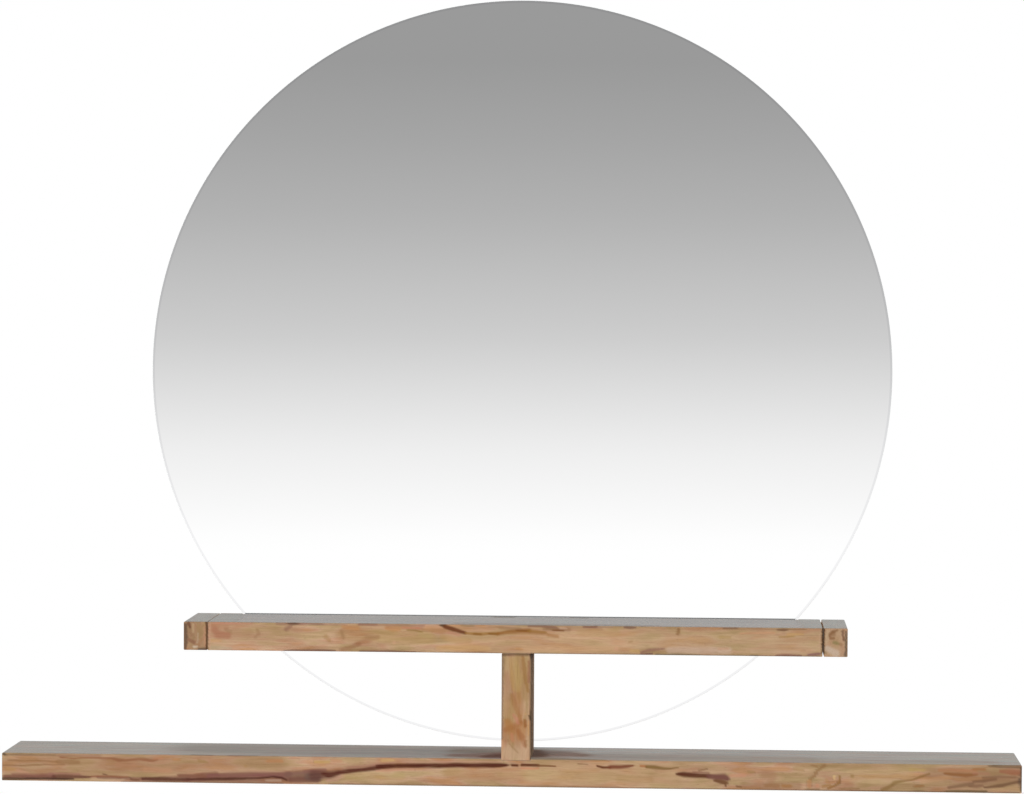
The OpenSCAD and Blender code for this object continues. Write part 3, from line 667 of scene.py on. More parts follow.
    ("7d5644", 0.62, [(480, -650.4, 1.4), (488, -650.6, 2), (494, -649.8, 1.5)]),
    ("704e3a", 0.82, [(496, -651.6, 1.4), (506, -650.6, 2.1), (514, -649.2, 2), (524, -646.8, 1.7),
                      (533, -645, 1.7)]),
    ("9c7656", 0.45, [(508, -645.2, 1.3), (522, -643.4, 1.3)]),
    ("b8946e", 0.60, [(503, -654.2, 1.5), (518, -653, 2), (530, -652.2, 2.4)]),
    ("55433a", 0.75, [(533.6, -631, 1), (533.2, -641, 1.6), (533, -644.4, 2.8), (533.6, -650, 1.6),
                      (533.6, -655, 1)]),
    # The last four strokes are painted shade: a dark line along the lower arris, where less light falls
    ("665638", 0.85, [(455, -656, 1.1), (478, -655.6, 1.2), (498, -655.8, 1)]),
    ("6b5540", 0.75, [(355, -657, 0.9), (430, -656.6, 0.9), (532, -656.8, 0.9)]),
    ("725c46", 0.65, [(-195, -656.9, 0.9), (-90, -656.9, 1), (20, -656.8, 1.1), (60, -656.8, 1), (180, -657, 0.9),
                      (355, -657, 0.9)]),
    ("735848", 0.55, [(-416, -657, 0.8), (-245, -657, 0.8)]),
]
LEDGE_TOP = [
    # Painted shade: a blue-grey darkening of the top left of the post, under the shelf
    ("5c6670", 0.38, [(-330, -66, 44), (-200, -66, 50), (-70, -66, 50)]),
    # The next five strokes paint the post's shadow and reflection on the top round its foot
    ("7d6a4c", 0.50, [(-58, -56, 18), (-34, -54, 22), (-16, -50, 22)]),
    ("8c5440", 0.65, [(-60, -94, 14), (-34, -92, 22), (-14, -90, 30)]),
    ("6e3a26", 0.85, [(-26, -100, 12), (-14, -94, 20)]),
    ("93604a", 0.70, [(22, -66, 34), (44, -70, 28), (66, -78, 16)]),
    ("7a4c2e", 0.85, [(18, -46, 10), (20, -70, 14), (24, -92, 12)]),
    ("a08450", 0.60, [(18, -111, 8), (40, -111, 8), (62, -114, 6), (96, -118, 3)]),
    ("80684f", 0.30, [(90, -88, 26), (200, -90, 28), (300, -92, 22)]),
    ("8f7a66", 0.25, [(320, -100, 14), (420, -102, 14), (500, -98, 14)]),
    ("6b5648", 0.55, [(-342, -117, 2.4), (-322, -118, 2.4)]),
    ("7c6258", 0.50, [(-302, -118, 2.4), (-274, -118, 2.4)]),
    ("5c4a3c", 0.60, [(505, -118, 2.2), (532, -118, 2.2)]),
]

# %% Make the ledge
PLAY = 0.1 * MM
PLUG_HOLE = 8 * MM  # deep enough for the plug and the screw's head above it
ledge = sawn_board("ledge_timber", "lower_ledge", (2.0, 4.0, 1.0))
LEDGE_TOP_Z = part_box("lower_ledge")[1].z
POST_LOW, POST_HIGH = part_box("post")
cut_out(ledge, block_cutter(Vector((POST_LOW.x - PLAY, POST_LOW.y - PAST, POST_LOW.z)),
                            Vector((POST_HIGH.x + PLAY, POST_HIGH.y + PLAY, LEDGE_TOP_Z + PAST))))
PLUG_LOW, PLUG_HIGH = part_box("post_foot_plugs")
PLUG_R = (PLUG_HIGH.x - PLUG_LOW.x) / 2
for y in (PLUG_LOW.y + PLUG_R, PLUG_HIGH.y - PLUG_R):
    middle = ((PLUG_LOW.x + PLUG_HIGH.x) / 2, y, PLUG_LOW.z)
    cut_out(ledge, round_cutter(middle, PLUG_R + PLAY, 2 * PLUG_HOLE))
paint(ledge, "front", LEDGE_FRONT)
paint(ledge, "top", LEDGE_TOP, 0.3)
print("ledge", len(ledge.data.polygons), "faces")

# %% [markdown]
# ## Upper shelf
# A shorter board of the same wood. Its back is cut away for the glass, so that an ear at each end
# reaches back beside it, and a strip of grey felt between wood and glass shows as a thin line; the
# felt's tone is set so that this line also stands in for the shade and reflection where shelf meets
# glass. One dark streak comes down from its top edge left of the post and runs on as an orange-brown
# one; the rest is pink, olive and orange patches. Its lower arris carries a line of painted shade and
# reflection, pale lines on the arrises at the end joints are painted highlights, and a painted
# shadow line runs along the back edge of the left ear.

# %% Strokes on the shelf
SHELF_FRONT = [
    ("8f6a48", 0.26, [(-320, -496, 11), (-236, -497, 12)]),
    ("d2ad86", 0.35, [(-60, -501, 12), (60, -501, 13), (120, -501, 12)]),
    ("b99e78", 0.40, [(130, -500, 11), (318, -501, 11)]),
    ("b8935f", 0.35, [(-180, -497, 7), (-90, -500, 8)]),
    ("c8a26c", 0.45, [(-80, -511, 3), (-28, -511, 3)]),
    ("8f5f48", 0.35, [(-134, -489, 2.4), (-98, -489.4, 2.4)]),
    ("7d5a40", 0.42, [(32, -489.4, 2.4), (58, -490.4, 2.4)]),
    ("96683f", 0.30, [(-184, -499, 6), (-156, -500, 6)]),
    ("d0a880", 0.45, [(10, -511, 3.2), (60, -511, 3.2), (108, -510, 3.2)]),
    ("cab09c", 0.60, [(164, -510.5, 3.6), (226, -510.5, 3.8)]),
    ("8c6a4c", 0.38, [(56, -488.5, 2.5), (74, -489, 2.8), (92, -489, 2)]),
    ("b08a56", 0.45, [(-76, -499, 3), (-62, -503, 3.4), (-47, -503, 3)]),
    ("b39260", 0.40, [(70, -493, 4), (108, -493, 4.5)]),
    ("b39c6a", 0.40, [(-99, -496, 3.5), (-90, -498, 4)]),
    ("a56e55", 0.75, [(-318, -494, 4), (-314, -499, 5), (-304, -500, 4)]),
    ("aa785c", 0.50, [(-322, -490, 2.5), (-305, -491, 3)]),
    ("8f6848", 0.45, [(-306, -494, 2), (-301, -496, 1.8)]),
    ("bd8470", 0.60, [(-320, -487.2, 1), (-300, -487.2, 1.2), (-278, -487.2, 1)]),
    ("a47e5c", 0.45, [(-298, -496, 4), (-282, -498, 5)]),
    ("8b6442", 0.42, [(-272.5, -494, 1.8), (-271, -498, 2), (-275, -501.5, 1.8)]),
    ("c59468", 0.50, [(-321, -506, 1.8), (-312, -506, 1.6)]),
    ("b09c84", 0.55, [(-323, -513, 2), (-300, -514, 1.6)]),
    ("8c6858", 0.65, [(-252, -487.2, 1.2), (-243, -487.4, 1.4)]),
    ("4f3830", 0.80, [(-241, -487, 0.9), (-234, -486.8, 1.9), (-227, -487, 0.8)]),
    ("80584a", 0.55, [(-237, -489.4, 2), (-241.5, -492.6, 2.8)]),
    ("86645c", 0.70, [(-226, -487, 1.1), (-203, -487.1, 1.2)]),
    ("a67d70", 0.55, [(-202, -487.4, 1), (-178, -487.6, 0.9)]),
    ("a07c4e", 0.55, [(-200, -500, 2.5), (-196, -504, 2.2)]),
    ("977350", 0.60, [(-183, -494, 2), (-181, -501, 2)]),
    # Painted shade and reflection: this stroke and the other dark ones at about -515 mm run along the lower arris
    ("715244", 0.88, [(-243, -515.4, 0.9), (-215, -515.2, 1.5), (-190, -515.2, 1.1)]),
    ("8a5c3c", 0.52, [(-183, -514, 2.2), (-174, -511.6, 2.8), (-164, -507.4, 2.4)]),
    ("93623f", 0.38, [(-166, -507.6, 2.8), (-154, -502.6, 3.2), (-145, -500.6, 2.6)]),
    ("a07c58", 0.45, [(-158, -500, 1.6), (-143, -500.2, 1.8)]),
    ("b9804a", 0.50, [(-181, -489.8, 2), (-166, -490.4, 3)]),
    ("8c6154", 0.75, [(-165, -487, 1.2), (-146, -487, 1.3)]),
    ("9d7260", 0.60, [(-144, -487.2, 1.1), (-96, -487.4, 1)]),
    ("b87e48", 0.50, [(-136, -490.4, 2), (-128, -491.6, 3.2), (-122, -491.4, 2.6)]),
    ("be7c60", 0.65, [(-118, -490, 1.4), (-100, -490.2, 1.2)]),
    ("90723f", 0.75, [(-113, -492.4, 0.9), (-105, -492.8, 1.1), (-98, -494.2, 1)]),
    ("cb9f80", 0.50, [(-127, -505.5, 2.2)]),
    ("6d4f40", 0.85, [(-163, -515.4, 0.9), (-146, -515.3, 1.2), (-126, -515.3, 1.2), (-104, -515.6, 0.8)]),
    ("4a3524", 0.92, [(-78.5, -487, 0.8), (-73, -487.6, 1.7)]),
    ("6b3c22", 0.96, [(-73, -488.4, 2.2), (-64, -491.4, 2.5), (-57, -493.4, 2.2), (-51, -494.8, 1.8)]),
    ("b8826a", 0.60, [(-70, -494.6, 1.4), (-58, -497, 1.6)]),
    ("9a7038", 0.80, [(-51, -494.9, 1.3), (-44, -495.4, 1.7), (-34, -495.6, 2.2), (-27, -495, 1.6),
                      (-17, -495.2, 2.2)]),
    ("855a2a", 0.80, [(-43, -495.6, 1.2), (-35, -495.6, 1.2)]),
    ("855a2a", 0.85, [(-27, -495.2, 1.1), (-18, -495.4, 1.3)]),
    ("90602e", 0.88, [(-17, -495.2, 1.9), (-6, -493.4, 2.1), (4, -492, 2.4), (16, -491.8, 2.4)]),
    ("7d4c1e", 0.80, [(3, -491.7, 1), (15, -491.7, 1)]),
    ("936a34", 0.80, [(16, -492.2, 2.1), (26, -493, 1.9), (33, -493.2, 1.4)]),
    ("a0703f", 0.60, [(36, -496, 2), (46, -497.4, 2)]),
    ("8f6c4e", 0.50, [(-16, -488.6, 1.6), (-4, -489.6, 2), (6, -489.4, 1.6)]),
    ("a57a4c", 0.50, [(-10, -494.8, 1.3), (10, -494.9, 1.5), (36, -495, 1.3)]),
    ("8c6a50", 0.60, [(34, -488.8, 1.4), (42, -489.6, 1.8), (54, -490.8, 1.2)]),
    ("784a26", 0.80, [(40, -490.8, 0.8), (46, -491.2, 1.2), (52, -491.6, 1)]),
    ("877654", 0.60, [(-56, -487, 1), (-43, -487, 1)]),
    ("9f7650", 0.50, [(-27, -488, 1.1), (-12, -488, 1.1)]),
    ("855f52", 0.75, [(15, -487, 1), (32, -487.1, 1.2), (45, -487.8, 1.2)]),
    ("cfae94", 0.60, [(48, -488.8, 0.9), (55, -488.6, 0.9)]),
    ("7e574c", 0.80, [(73, -487.1, 1), (87, -487.1, 1.2)]),
    ("a0806c", 0.55, [(88, -487.2, 0.9), (103, -487.4, 0.9)]),
    ("7c5c4e", 0.85, [(116, -487.3, 1.1), (123, -487.6, 1.5), (128, -487.2, 0.9)]),
    ("8c6640", 0.80, [(173.4, -488.4, 1.9), (172.8, -493, 2)]),
    ("a07c54", 0.60, [(122, -502.4, 1.2), (125, -502, 1)]),
    ("b98856", 0.50, [(3, -510.6, 1.6), (8, -511.4, 1.6)]),
    ("cb9a80", 0.60, [(108, -509.6, 1.7)]),
    ("c4a064", 0.50, [(123, -511.6, 2), (131, -512, 2)]),
    ("916a5a", 0.80, [(134, -513.4, 1.2), (142, -511, 2), (152, -509.8, 1.6), (159, -509.4, 0.9)]),
    ("725248", 0.88, [(134, -515.2, 0.9), (146, -514.8, 1.1)]),
    ("655a48", 0.80, [(150, -515.5, 0.8), (166, -515.3, 1.1), (196, -515.4, 0.9)]),
    ("7d5f48", 0.80, [(220, -487.3, 1), (235, -487.2, 1)]),
    ("9a7858", 0.60, [(236, -487.5, 0.9), (276, -487.5, 0.9)]),
    ("72503c", 0.88, [(277.5, -487.8, 1.1), (284, -488.2, 1.4), (288, -487.8, 1)]),
    ("8d6c4a", 0.70, [(289, -487.5, 0.9), (308, -487.5, 0.8)]),
    ("c3906e", 0.60, [(238, -492.4, 1.1), (256, -491.4, 1.3), (275, -491, 1.2)]),
    ("c39a60", 0.55, [(288, -492.6, 1.6), (304, -492.2, 1.2)]),
    ("a5844e", 0.65, [(279, -495.6, 1), (287, -495.4, 1.2), (295, -494.6, 1)]),
    ("a88a54", 0.50, [(217, -496.6, 1.8), (228, -496.4, 1.6)]),
    ("c69478", 0.50, [(216, -508.4, 1.4), (226, -508.4, 1.4)]),
    ("c4a48a", 0.50, [(250, -511, 1.8), (300, -511, 2)]),
    ("605444", 0.80, [(249, -515.4, 1), (257, -515.4, 1)]),
    ("855c54", 0.85, [(276, -515, 1), (290, -514.8, 1.3), (302, -515, 1)]),
    ("80585a", 0.80, [(309, -514, 1.1), (322, -513, 1.6)]),
    # The next three strokes are painted shade and reflection along the lower arris
    ("7d6a55", 0.65, [(-104, -515.8, 0.8), (-16, -515.8, 0.9)]),
    ("7d6a55", 0.65, [(18, -515.8, 0.9), (134, -515.8, 0.8)]),
    ("736450", 0.65, [(196, -515.7, 0.8), (322, -515.7, 0.8)]),
    # Painted highlights: this pale line and the one two lines down lie on the arrises beside the joints; the dark
    # strokes are the joints
    ("c89a82", 0.60, [(-323.6, -489, 1.2), (-323.6, -513, 1.2)]),
    ("5f3e26", 0.65, [(-325.8, -486.6, 0.9), (-325.8, -515.6, 1)]),
    ("c6a384", 0.50, [(322, -490, 1.1), (322, -511, 1.1)]),
    ("4f3016", 0.90, [(324.7, -486.6, 0.9), (324.7, -512.6, 0.9)]),
]
SHELF_TOP = [
    # Painted shadow: a dark line along the back edge of the left ear
    ("5f554c", 0.60, [(-325, -18, 5), (-300, -18, 5)]),
    ("8b8078", 0.30, [(-60, -106, 8), (60, -108, 9), (150, -110, 6)]),
    ("5c4f44", 0.60, [(-24, -28, 5), (-8, -28, 5)]),
    ("5c4f44", 0.60, [(58, -26, 4), (72, -28, 4)]),
]

# %% Make the shelf
RECESS_PLAY = 2 * MM
shelf = sawn_board("shelf_timber", "shelf_board", (1.8, 4.0, 1.0))
SHELF_LOW, SHELF_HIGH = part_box("shelf_board")
GLASS_LOW, GLASS_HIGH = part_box("mirror_glass")
GLASS_R = (GLASS_HIGH.x - GLASS_LOW.x) / 2
# Half of the glass's width at the height of the shelf's top, and some play
RECESS = math.sqrt(GLASS_R ** 2 - (SHELF_HIGH.z - GLASS_LOW.z - GLASS_R) ** 2) + RECESS_PLAY
cut_out(shelf, block_cutter(Vector((-RECESS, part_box("shelf_felt_strip")[0].y, SHELF_LOW.z - PAST)),
                            Vector((RECESS, SHELF_HIGH.y + PAST, SHELF_HIGH.z + PAST))))
paint(shelf, "front", SHELF_FRONT)
paint(shelf, "top", SHELF_TOP, 0.3)
print("shelf", len(shelf.data.polygons), "faces")

# %% [markdown]
# ## Post
# The post is short and its grain stands upright. It is olive tan at the top, has an orange-brown
# patch in its lower half and a pale foot, and a small dent in its right edge. Its left arris is
# painted darker as shade, a painted shadow of the shelf runs across its top, and its right side is
# painted in shade, darkest under the shelf.

# %% Make the post
POST_FRONT = [
    ("8a6440", 0.34, [(-8, -541, 5), (-8, -563, 5)]),
    ("8a6440", 0.28, [(13, -541, 4), (13, -562, 4)]),
    ("8a5a32", 0.40, [(-8, -590, 6), (-7, -606, 6)]),
    ("8a6446", 0.36, [(2, -598, 5), (3, -622, 5)]),
    ("a8854f", 0.40, [(7, -522, 8), (9, -560, 7)]),
    ("b0824e", 0.35, [(0, -575, 12), (2, -600, 13)]),
    ("b59860", 0.55, [(-2, -524, 5), (2, -540, 7), (3, -552, 5)]),
    ("b08468", 0.50, [(-7.5, -536, 2.5), (-7, -546, 2.5)]),
    ("b58c6c", 0.40, [(-8, -552, 2.5), (-8, -580, 2.5)]),
    ("987040", 0.70, [(9.5, -520, 1.8), (11, -532, 2.6), (12.5, -545, 2.2), (15, -556, 1.4)]),
    ("96644a", 0.70, [(15.5, -524, 1.3), (15.8, -546, 1.3)]),
    ("9c6a3a", 0.55, [(-2, -560, 2.2), (1, -569, 3), (5, -580, 2.4), (7, -588, 2)]),
    ("aa713c", 0.50, [(-6, -589, 4), (-4, -596, 6), (4, -596, 7), (9, -594, 6), (8, -604, 5)]),
    ("96592c", 0.34, [(-9, -597, 2.6), (-1, -594, 3.4), (8, -589, 2.8)]),
    ("95562e", 0.45, [(5, -598, 2.4), (9, -605, 3), (11, -613, 2)]),
    ("90592a", 0.75, [(12, -587, 1.8), (12.4, -593, 1.8)]),
    ("bd8068", 0.60, [(0, -581, 1.6), (3, -586, 2), (5, -590, 1.4)]),
    ("c07e60", 0.55, [(-2, -602, 2), (-1, -608, 2)]),
    ("d2a06c", 0.75, [(16, -588, 0.9), (16, -602, 0.9)]),
    ("c9a070", 0.60, [(12.5, -580, 1.4)]),
    ("94683f", 0.65, [(13, -609, 1.8), (13, -615, 1.6)]),
    ("bf9f80", 0.75, [(-8, -622, 6.5), (2, -622, 7), (12, -623, 6)]),
    ("96744f", 0.50, [(-4, -612, 1), (0, -616.5, 1.2), (5, -621, 0.9)]),
    # The next two strokes are painted: shade on the left arris, and the shelf's shadow across the top
    ("806c5c", 0.80, [(-12.2, -518, 1.3), (-12.2, -560, 1.3), (-12.2, -606, 1.1)]),
    ("5c4434", 0.85, [(-12, -517.2, 1.2), (17, -517.2, 1.2)]),
    ("4f371e", 0.90, [(16.6, -581.4, 1.2), (17.4, -585, 1.3)]),
]
POST_SIDE = [
    # The first two strokes are painted shade: the whole side, which faces away from the lamp, and its top under the
    # shelf, where the shelf's shadow falls
    ("6b5844", 0.50, [(-100, -516, 30), (-100, -628, 30)]),
    ("33241a", 0.85, [(-116, -516, 7), (-60, -518, 6)]),
    ("4f3d26", 0.60, [(-117, -580, 6), (-104, -590, 7), (-98, -606, 4)]),
]
post = sawn_board("post_timber", "post", (1.2, 4.0, 1.5))
paint(post, "front", POST_FRONT)
paint(post, "side", POST_SIDE)
print("post", len(post.data.polygons), "faces")

# %% [markdown]
# ## End blocks
# A short block closes each end of the shelf, with its grain running front to back, so its front is
# end grain: darker, with rings and pores. The left one is painted darker at its outer edge, as
# shade on its rounded arris, and carries a painted highlight on its arris at the joint. The right
# one has a round brown knot and stands a little off the shelf, with an open joint between.

# %% Make the end blocks
LEFT_FRONT = [
    ("96795f", 0.58, [(-340, -490, 12), (-336, -510, 12)]),
    # Painted shade: the outer edge darker, on its rounded arris
    ("5f4a3c", 0.85, [(-349.6, -489, 1.8), (-348.8, -503, 2.8), (-349.4, -514, 1.8)]),
    ("6b4434", 0.85, [(-346, -488, 2.2), (-344.5, -492, 1.2)]),
    ("b89c7a", 0.80, [(-341, -488.6, 1.1), (-341, -497, 1.1)]),
    ("9c7e58", 0.60, [(-335, -491, 3), (-334, -502, 3.4)]),
    ("b49a80", 0.65, [(-336, -498, 0.9), (-336.5, -508, 1)]),
    ("865c48", 0.75, [(-345, -505, 2), (-340, -508, 2)]),
    ("c9b6a0", 0.85, [(-340, -512.6, 1.4), (-337, -512.4, 1.2)]),
    ("57483c", 0.80, [(-335, -515, 1), (-328, -514.4, 1.6)]),
    # Painted highlight: a pale line on the arris beside the joint
    ("b8886c", 0.75, [(-328.8, -491, 0.8), (-328.8, -511, 0.8)]),
    ("553420", 0.82, [(-326.6, -486.6, 1.4), (-326.6, -500, 0.9), (-326.6, -515.6, 1.3)]),
]
RIGHT_FRONT = [
    ("c4a489", 0.60, [(338, -492, 14), (338, -510, 14)]),
    ("4f3016", 0.90, [(326.2, -486.6, 1.1), (326.2, -512.6, 1)]),
    ("bda283", 0.70, [(330, -489, 2.2), (329, -500, 2.4)]),
    ("c9b5a2", 0.75, [(330, -507, 3), (339, -512, 3.8)]),
    ("a8865f", 0.50, [(338, -500, 6)]),
    ("7d5532", 0.66, [(340, -488, 1.4), (334.5, -490, 1.8), (332, -493, 1.5), (333, -496.4, 1.4),
                      (336.6, -496.4, 1.2)]),
    ("86603c", 0.60, [(335.6, -491.8, 3)]),
    ("877d50", 0.70, [(337, -500.6, 1.8), (341, -501.8, 1.8)]),
    ("6b4c38", 0.75, [(346, -488.5, 1.6), (346, -493, 1.3), (347.2, -498, 1.2)]),
    ("8f6844", 0.55, [(344, -503, 2)]),
    ("5f5044", 0.80, [(349.4, -489, 1.1), (349.4, -508, 1.2), (348.8, -514, 1.8)]),
    ("7f7758", 0.60, [(328, -512, 1.2)]),
]
block_left = sawn_board("end_block_left_timber", "shelf_end_block_left", (1.0, 4.0, 1.0))
block_right = sawn_board("end_block_right_timber", "shelf_end_block_right", (1.0, 4.0, 1.0))
paint(block_left, "front", LEFT_FRONT)
paint(block_right, "front", RIGHT_FRONT)
print("end blocks", len(block_left.data.polygons), "and", len(block_right.data.polygons), "faces")

# %% [markdown]
# ## Handing a piece over
# A finished piece stands for a CAD node and rides on the one body of this object. The photograph's
# mirror was retouched and shows none of the timber, so pieces are kept out of reflections.

# %% Stand the timber in for its CAD nodes
def stand_in(piece, node, material):
    """Smooths a piece, gives it its finish and lets it stand for a CAD node."""
    work_on(piece)
    bpy.ops.object.shade_smooth_by_angle(angle=math.radians(35))
    piece.data.materials.clear()
    piece.data.materials.append(material)
    piece.visible_glossy = False
    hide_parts(node)
    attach(piece, "root")


stand_in(ledge, "lower_ledge", HARDWOOD["long"])
stand_in(shelf, "shelf_board", HARDWOOD["upper"])
stand_in(post, "post", HARDWOOD["upright"])
stand_in(block_left, "shelf_end_block_left", HARDWOOD["end"])
stand_in(block_right, "shelf_end_block_right", HARDWOOD["end right"])
print("timber pieces ride on root")

# %% [markdown]
# ## Mirror finishes
# The mirror is float glass, silvered on its back and painted there against damp. Clear glass over
# silver shows no colour of its own, so the front is a plain sharp metal. The rim is ground and
# polished glass, and the backing paint is poured on as a curtain, which leaves faint lanes.

# %% Silver
def silvering(name, tint):
    """Silver behind clear glass: no colour of its own, dead sharp, with a hint of the float's ripple."""
    material, tree = new_material(name)
    place = add(tree, "TexCoord")
    ripple = add(tree, "TexNoise", Vector=place.outputs["Object"], Scale=3.0, Detail=1.0)
    bump = add(tree, "Bump", Strength=0.01, Distance=0.0001, Height=ripple)
    finish = add(tree, "BsdfPrincipled", Base_Color=linear(tint), Metallic=1.0, Roughness=0.0, Normal=bump)
    add(tree, "OutputMaterial", Surface=finish)
    return material


SILVER = silvering("silvered float glass", "ffffff")
THIN_SILVER = silvering("thin silvering at the rim", "f3f3f4")
print("finishes", SILVER.name, "and", THIN_SILVER.name)


# %% Backing paint
def back_paint():
    """Curtain-coated backing paint: grey-green and satin, with faint lanes and orange peel 2 mm across."""
    material, tree = new_material("mirror backing paint")
    place = add(tree, "TexCoord")
    lanes = add(tree, "Mapping", Vector=place.outputs["Object"], Scale=(60.0, 60.0, 4.0))
    lanes = add(tree, "TexNoise", Vector=lanes, Scale=1.0, Detail=3.0)
    peel = add(tree, "TexNoise", Vector=place.outputs["Object"], Scale=420.0, Detail=2.0)
    coat = add(tree, "ValToRGB", {"stops": [(0.35, linear("717874")), (0.65, linear("78807b"))]}, Fac=lanes)
    bump = add(tree, "Bump", Strength=0.25, Distance=0.0002, Height=peel)
    finish = add(tree, "BsdfPrincipled", Base_Color=coat, Roughness=0.45, Normal=bump)
    add(tree, "OutputMaterial", Surface=finish)
    return material


BACK_PAINT = back_paint()
print("finish", BACK_PAINT.name)

# %% [markdown]
# Rim, beech, rubber, felt and foam have one fine pattern each, which tints them and roughens their
# surface. One function builds such a finish, and each is then written down as a pattern, two
# tones and a roughness.

# %% Finishes with one fine pattern
def fine_grained(name, texture, pattern, tones, bump, **finish):
    """A finish with a fine pattern. Bump is its strength and its height in mm; finish sets the shader."""
    material, tree = new_material(name)
    place = add(tree, "TexCoord")
    grain = add(tree, texture, Vector=place.outputs["Object"], **pattern)
    tint = add(tree, "ValToRGB", {"stops": [(stop, linear(tone)) for stop, tone in tones]}, Fac=grain)
    relief = add(tree, "Bump", Strength=bump[0], Distance=bump[1] * MM, Height=grain)
    shader = add(tree, "BsdfPrincipled", Base_Color=tint, Normal=relief, **finish)
    add(tree, "OutputMaterial", Surface=shader)
    return material


# Ground and polished glass: pale, faintly green and silky. Grind marks are drawn 1 mm apart to show
POLISHED_RIM = fine_grained("polished glass rim", "TexNoise", {"Scale": 900.0, "Detail": 2.0},
                            [(0.3, "f1f5f3"), (0.7, "fafcfb")], (0.1, 0.1), Roughness=0.4)
print("finish", POLISHED_RIM.name)

# %% [markdown]
# ## Mirror
# The glass starts as a cylinder whose rims are bevelled by a fine arris. The silver thins towards
# the rim, so the front face is inset and that ring reflects a little less. In the photograph it is
# the hairline that lets a white mirror stand out from a white wall.

# %% Make the mirror
RIM_SIDES = 320  # keeps the outline within 0.02 mm of a true round
ARRIS, THIN_RING = 0.15 * MM, 2.2 * MM


def pick_faces(test):
    """Selects the faces of the object in edit mode that pass the test."""
    bpy.ops.mesh.select_mode(type="FACE")
    bpy.ops.mesh.select_all(action="DESELECT")
    net = bmesh.from_edit_mesh(bpy.context.object.data)
    for face in net.faces:
        face.select_set(test(face))
    bmesh.update_edit_mesh(bpy.context.object.data)


deselect()
bpy.ops.mesh.primitive_cylinder_add(vertices=RIM_SIDES, radius=GLASS_R,
                                    depth=GLASS_HIGH.y - GLASS_LOW.y, location=(GLASS_LOW + GLASS_HIGH) / 2,
                                    rotation=(math.pi / 2, 0, 0))
mirror = bpy.context.object
mirror.name = mirror.data.name = "mirror_disc"
bpy.ops.object.transform_apply(location=True, rotation=True, scale=True)
bpy.ops.object.mode_set(mode="EDIT")
pick_edges(lambda way, edge: any(len(face.verts) > 4 for face in edge.link_faces))
bpy.ops.mesh.bevel(offset=ARRIS, segments=1, affect="EDGES")
pick_faces(lambda face: face.normal.y < -0.99)
bpy.ops.mesh.inset(thickness=THIN_RING, depth=0.0)
bpy.ops.object.mode_set(mode="OBJECT")

# %% Give each face of the mirror its finish
for material in (SILVER, THIN_SILVER, POLISHED_RIM, BACK_PAINT):
    mirror.data.materials.append(material)
for face in mirror.data.polygons:
    front, back, ring = face.normal.y < -0.99, face.normal.y > 0.99, len(face.vertices) == 4
    face.material_index = (1 if ring else 0) if front else 3 if back else 2
bpy.ops.object.shade_smooth_by_angle(angle=math.radians(10))
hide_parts("mirror_glass")
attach(mirror, "root")
print("mirror", len(mirror.data.polygons), "faces")

# %% [markdown]
# ## Planed pine
# The battens behind the glass are planed softwood: pale early wood, thin orange lines of late wood
# and fine fibres. They use the same turned coordinates as the hardwood, with a nearer centre, which
# makes the lines curve on the ends.

# %% Make the pine
def planed_softwood(name, grain):
    """Pine: pale early wood and thin orange late-wood lines 3 mm apart, drawn out along the grain."""
    material, tree = new_material(name)
    mm, _, ends = along_grain(tree, grain)
    slow = add(tree, "Mapping", Vector=mm, Scale=(1 / 240, 1 / 40, 1 / 40))
    bend = add(tree, "TexNoise", Vector=slow, Scale=1.0, Detail=1.0)
    bend = add(tree, "VectorMath", {"operation": "MULTIPLY_ADD"}, i0=bend.outputs["Color"],
               i1=(0.0, 10.0, 10.0), i2=mm)
    flat = add(tree, "VectorMath", {"operation": "MULTIPLY_ADD"}, i0=bend, i1=(0.0, 1.0, 1.0), i2=(0.0, 30.0, 90.0))
    radius = add(tree, "VectorMath", {"operation": "LENGTH"}, i0=flat)
    rings = add(tree, "CombineXYZ", X=radius.outputs["Value"])
    rings = add(tree, "Mapping", Vector=rings, Scale=(1 / 3.0, 1.0, 1.0))
    rings = add(tree, "TexNoise", Vector=rings, Scale=1.0, Detail=1.0)
    body = add(tree, "ValToRGB", {"stops": [
        (0.40, linear("dcbf93")), (0.52, linear("d3b080")), (0.60, linear("bd8f58")),
        (0.66, linear("dabb8d"))]}, Fac=rings)
    thread = add(tree, "Mapping", Vector=bend, Scale=(1 / 20, 1 / 0.6, 1 / 0.6))
    fibre = add(tree, "TexNoise", Vector=thread, Scale=1.0, Detail=2.0)
    shade = add(tree, "ValToRGB", {"stops": [(0.3, linear("e4dccf")), (0.7, linear("ffffff"))]}, Fac=fibre)
    wood = add(tree, "MixRGB", {"blend_type": "MULTIPLY"}, Fac=0.8, Color1=body, Color2=shade)
    wood = add(tree, "MixRGB", {"blend_type": "MULTIPLY"}, Fac=ends, Color1=wood, Color2=linear("dcc9ad"))
    bump = add(tree, "Bump", Strength=0.3, Distance=0.0002, Height=fibre)
    finish = add(tree, "BsdfPrincipled", Base_Color=wood, Roughness=0.62, Normal=bump)
    add(tree, "OutputMaterial", Surface=finish)
    return material


LEVEL_PINE = planed_softwood("planed pine along X", "X")
UPRIGHT_PINE = planed_softwood("planed pine along Z", "Z")
print("finishes", LEVEL_PINE.name, "and", UPRIGHT_PINE.name)

# %% [markdown]
# ## Zinc-plated steel
# Screws and hanger plates are steel with a coat of zinc, yellow on the screws and bright on the
# plates. The coat clouds the colour a little, and the drawn wire or sheet leaves fine lines.

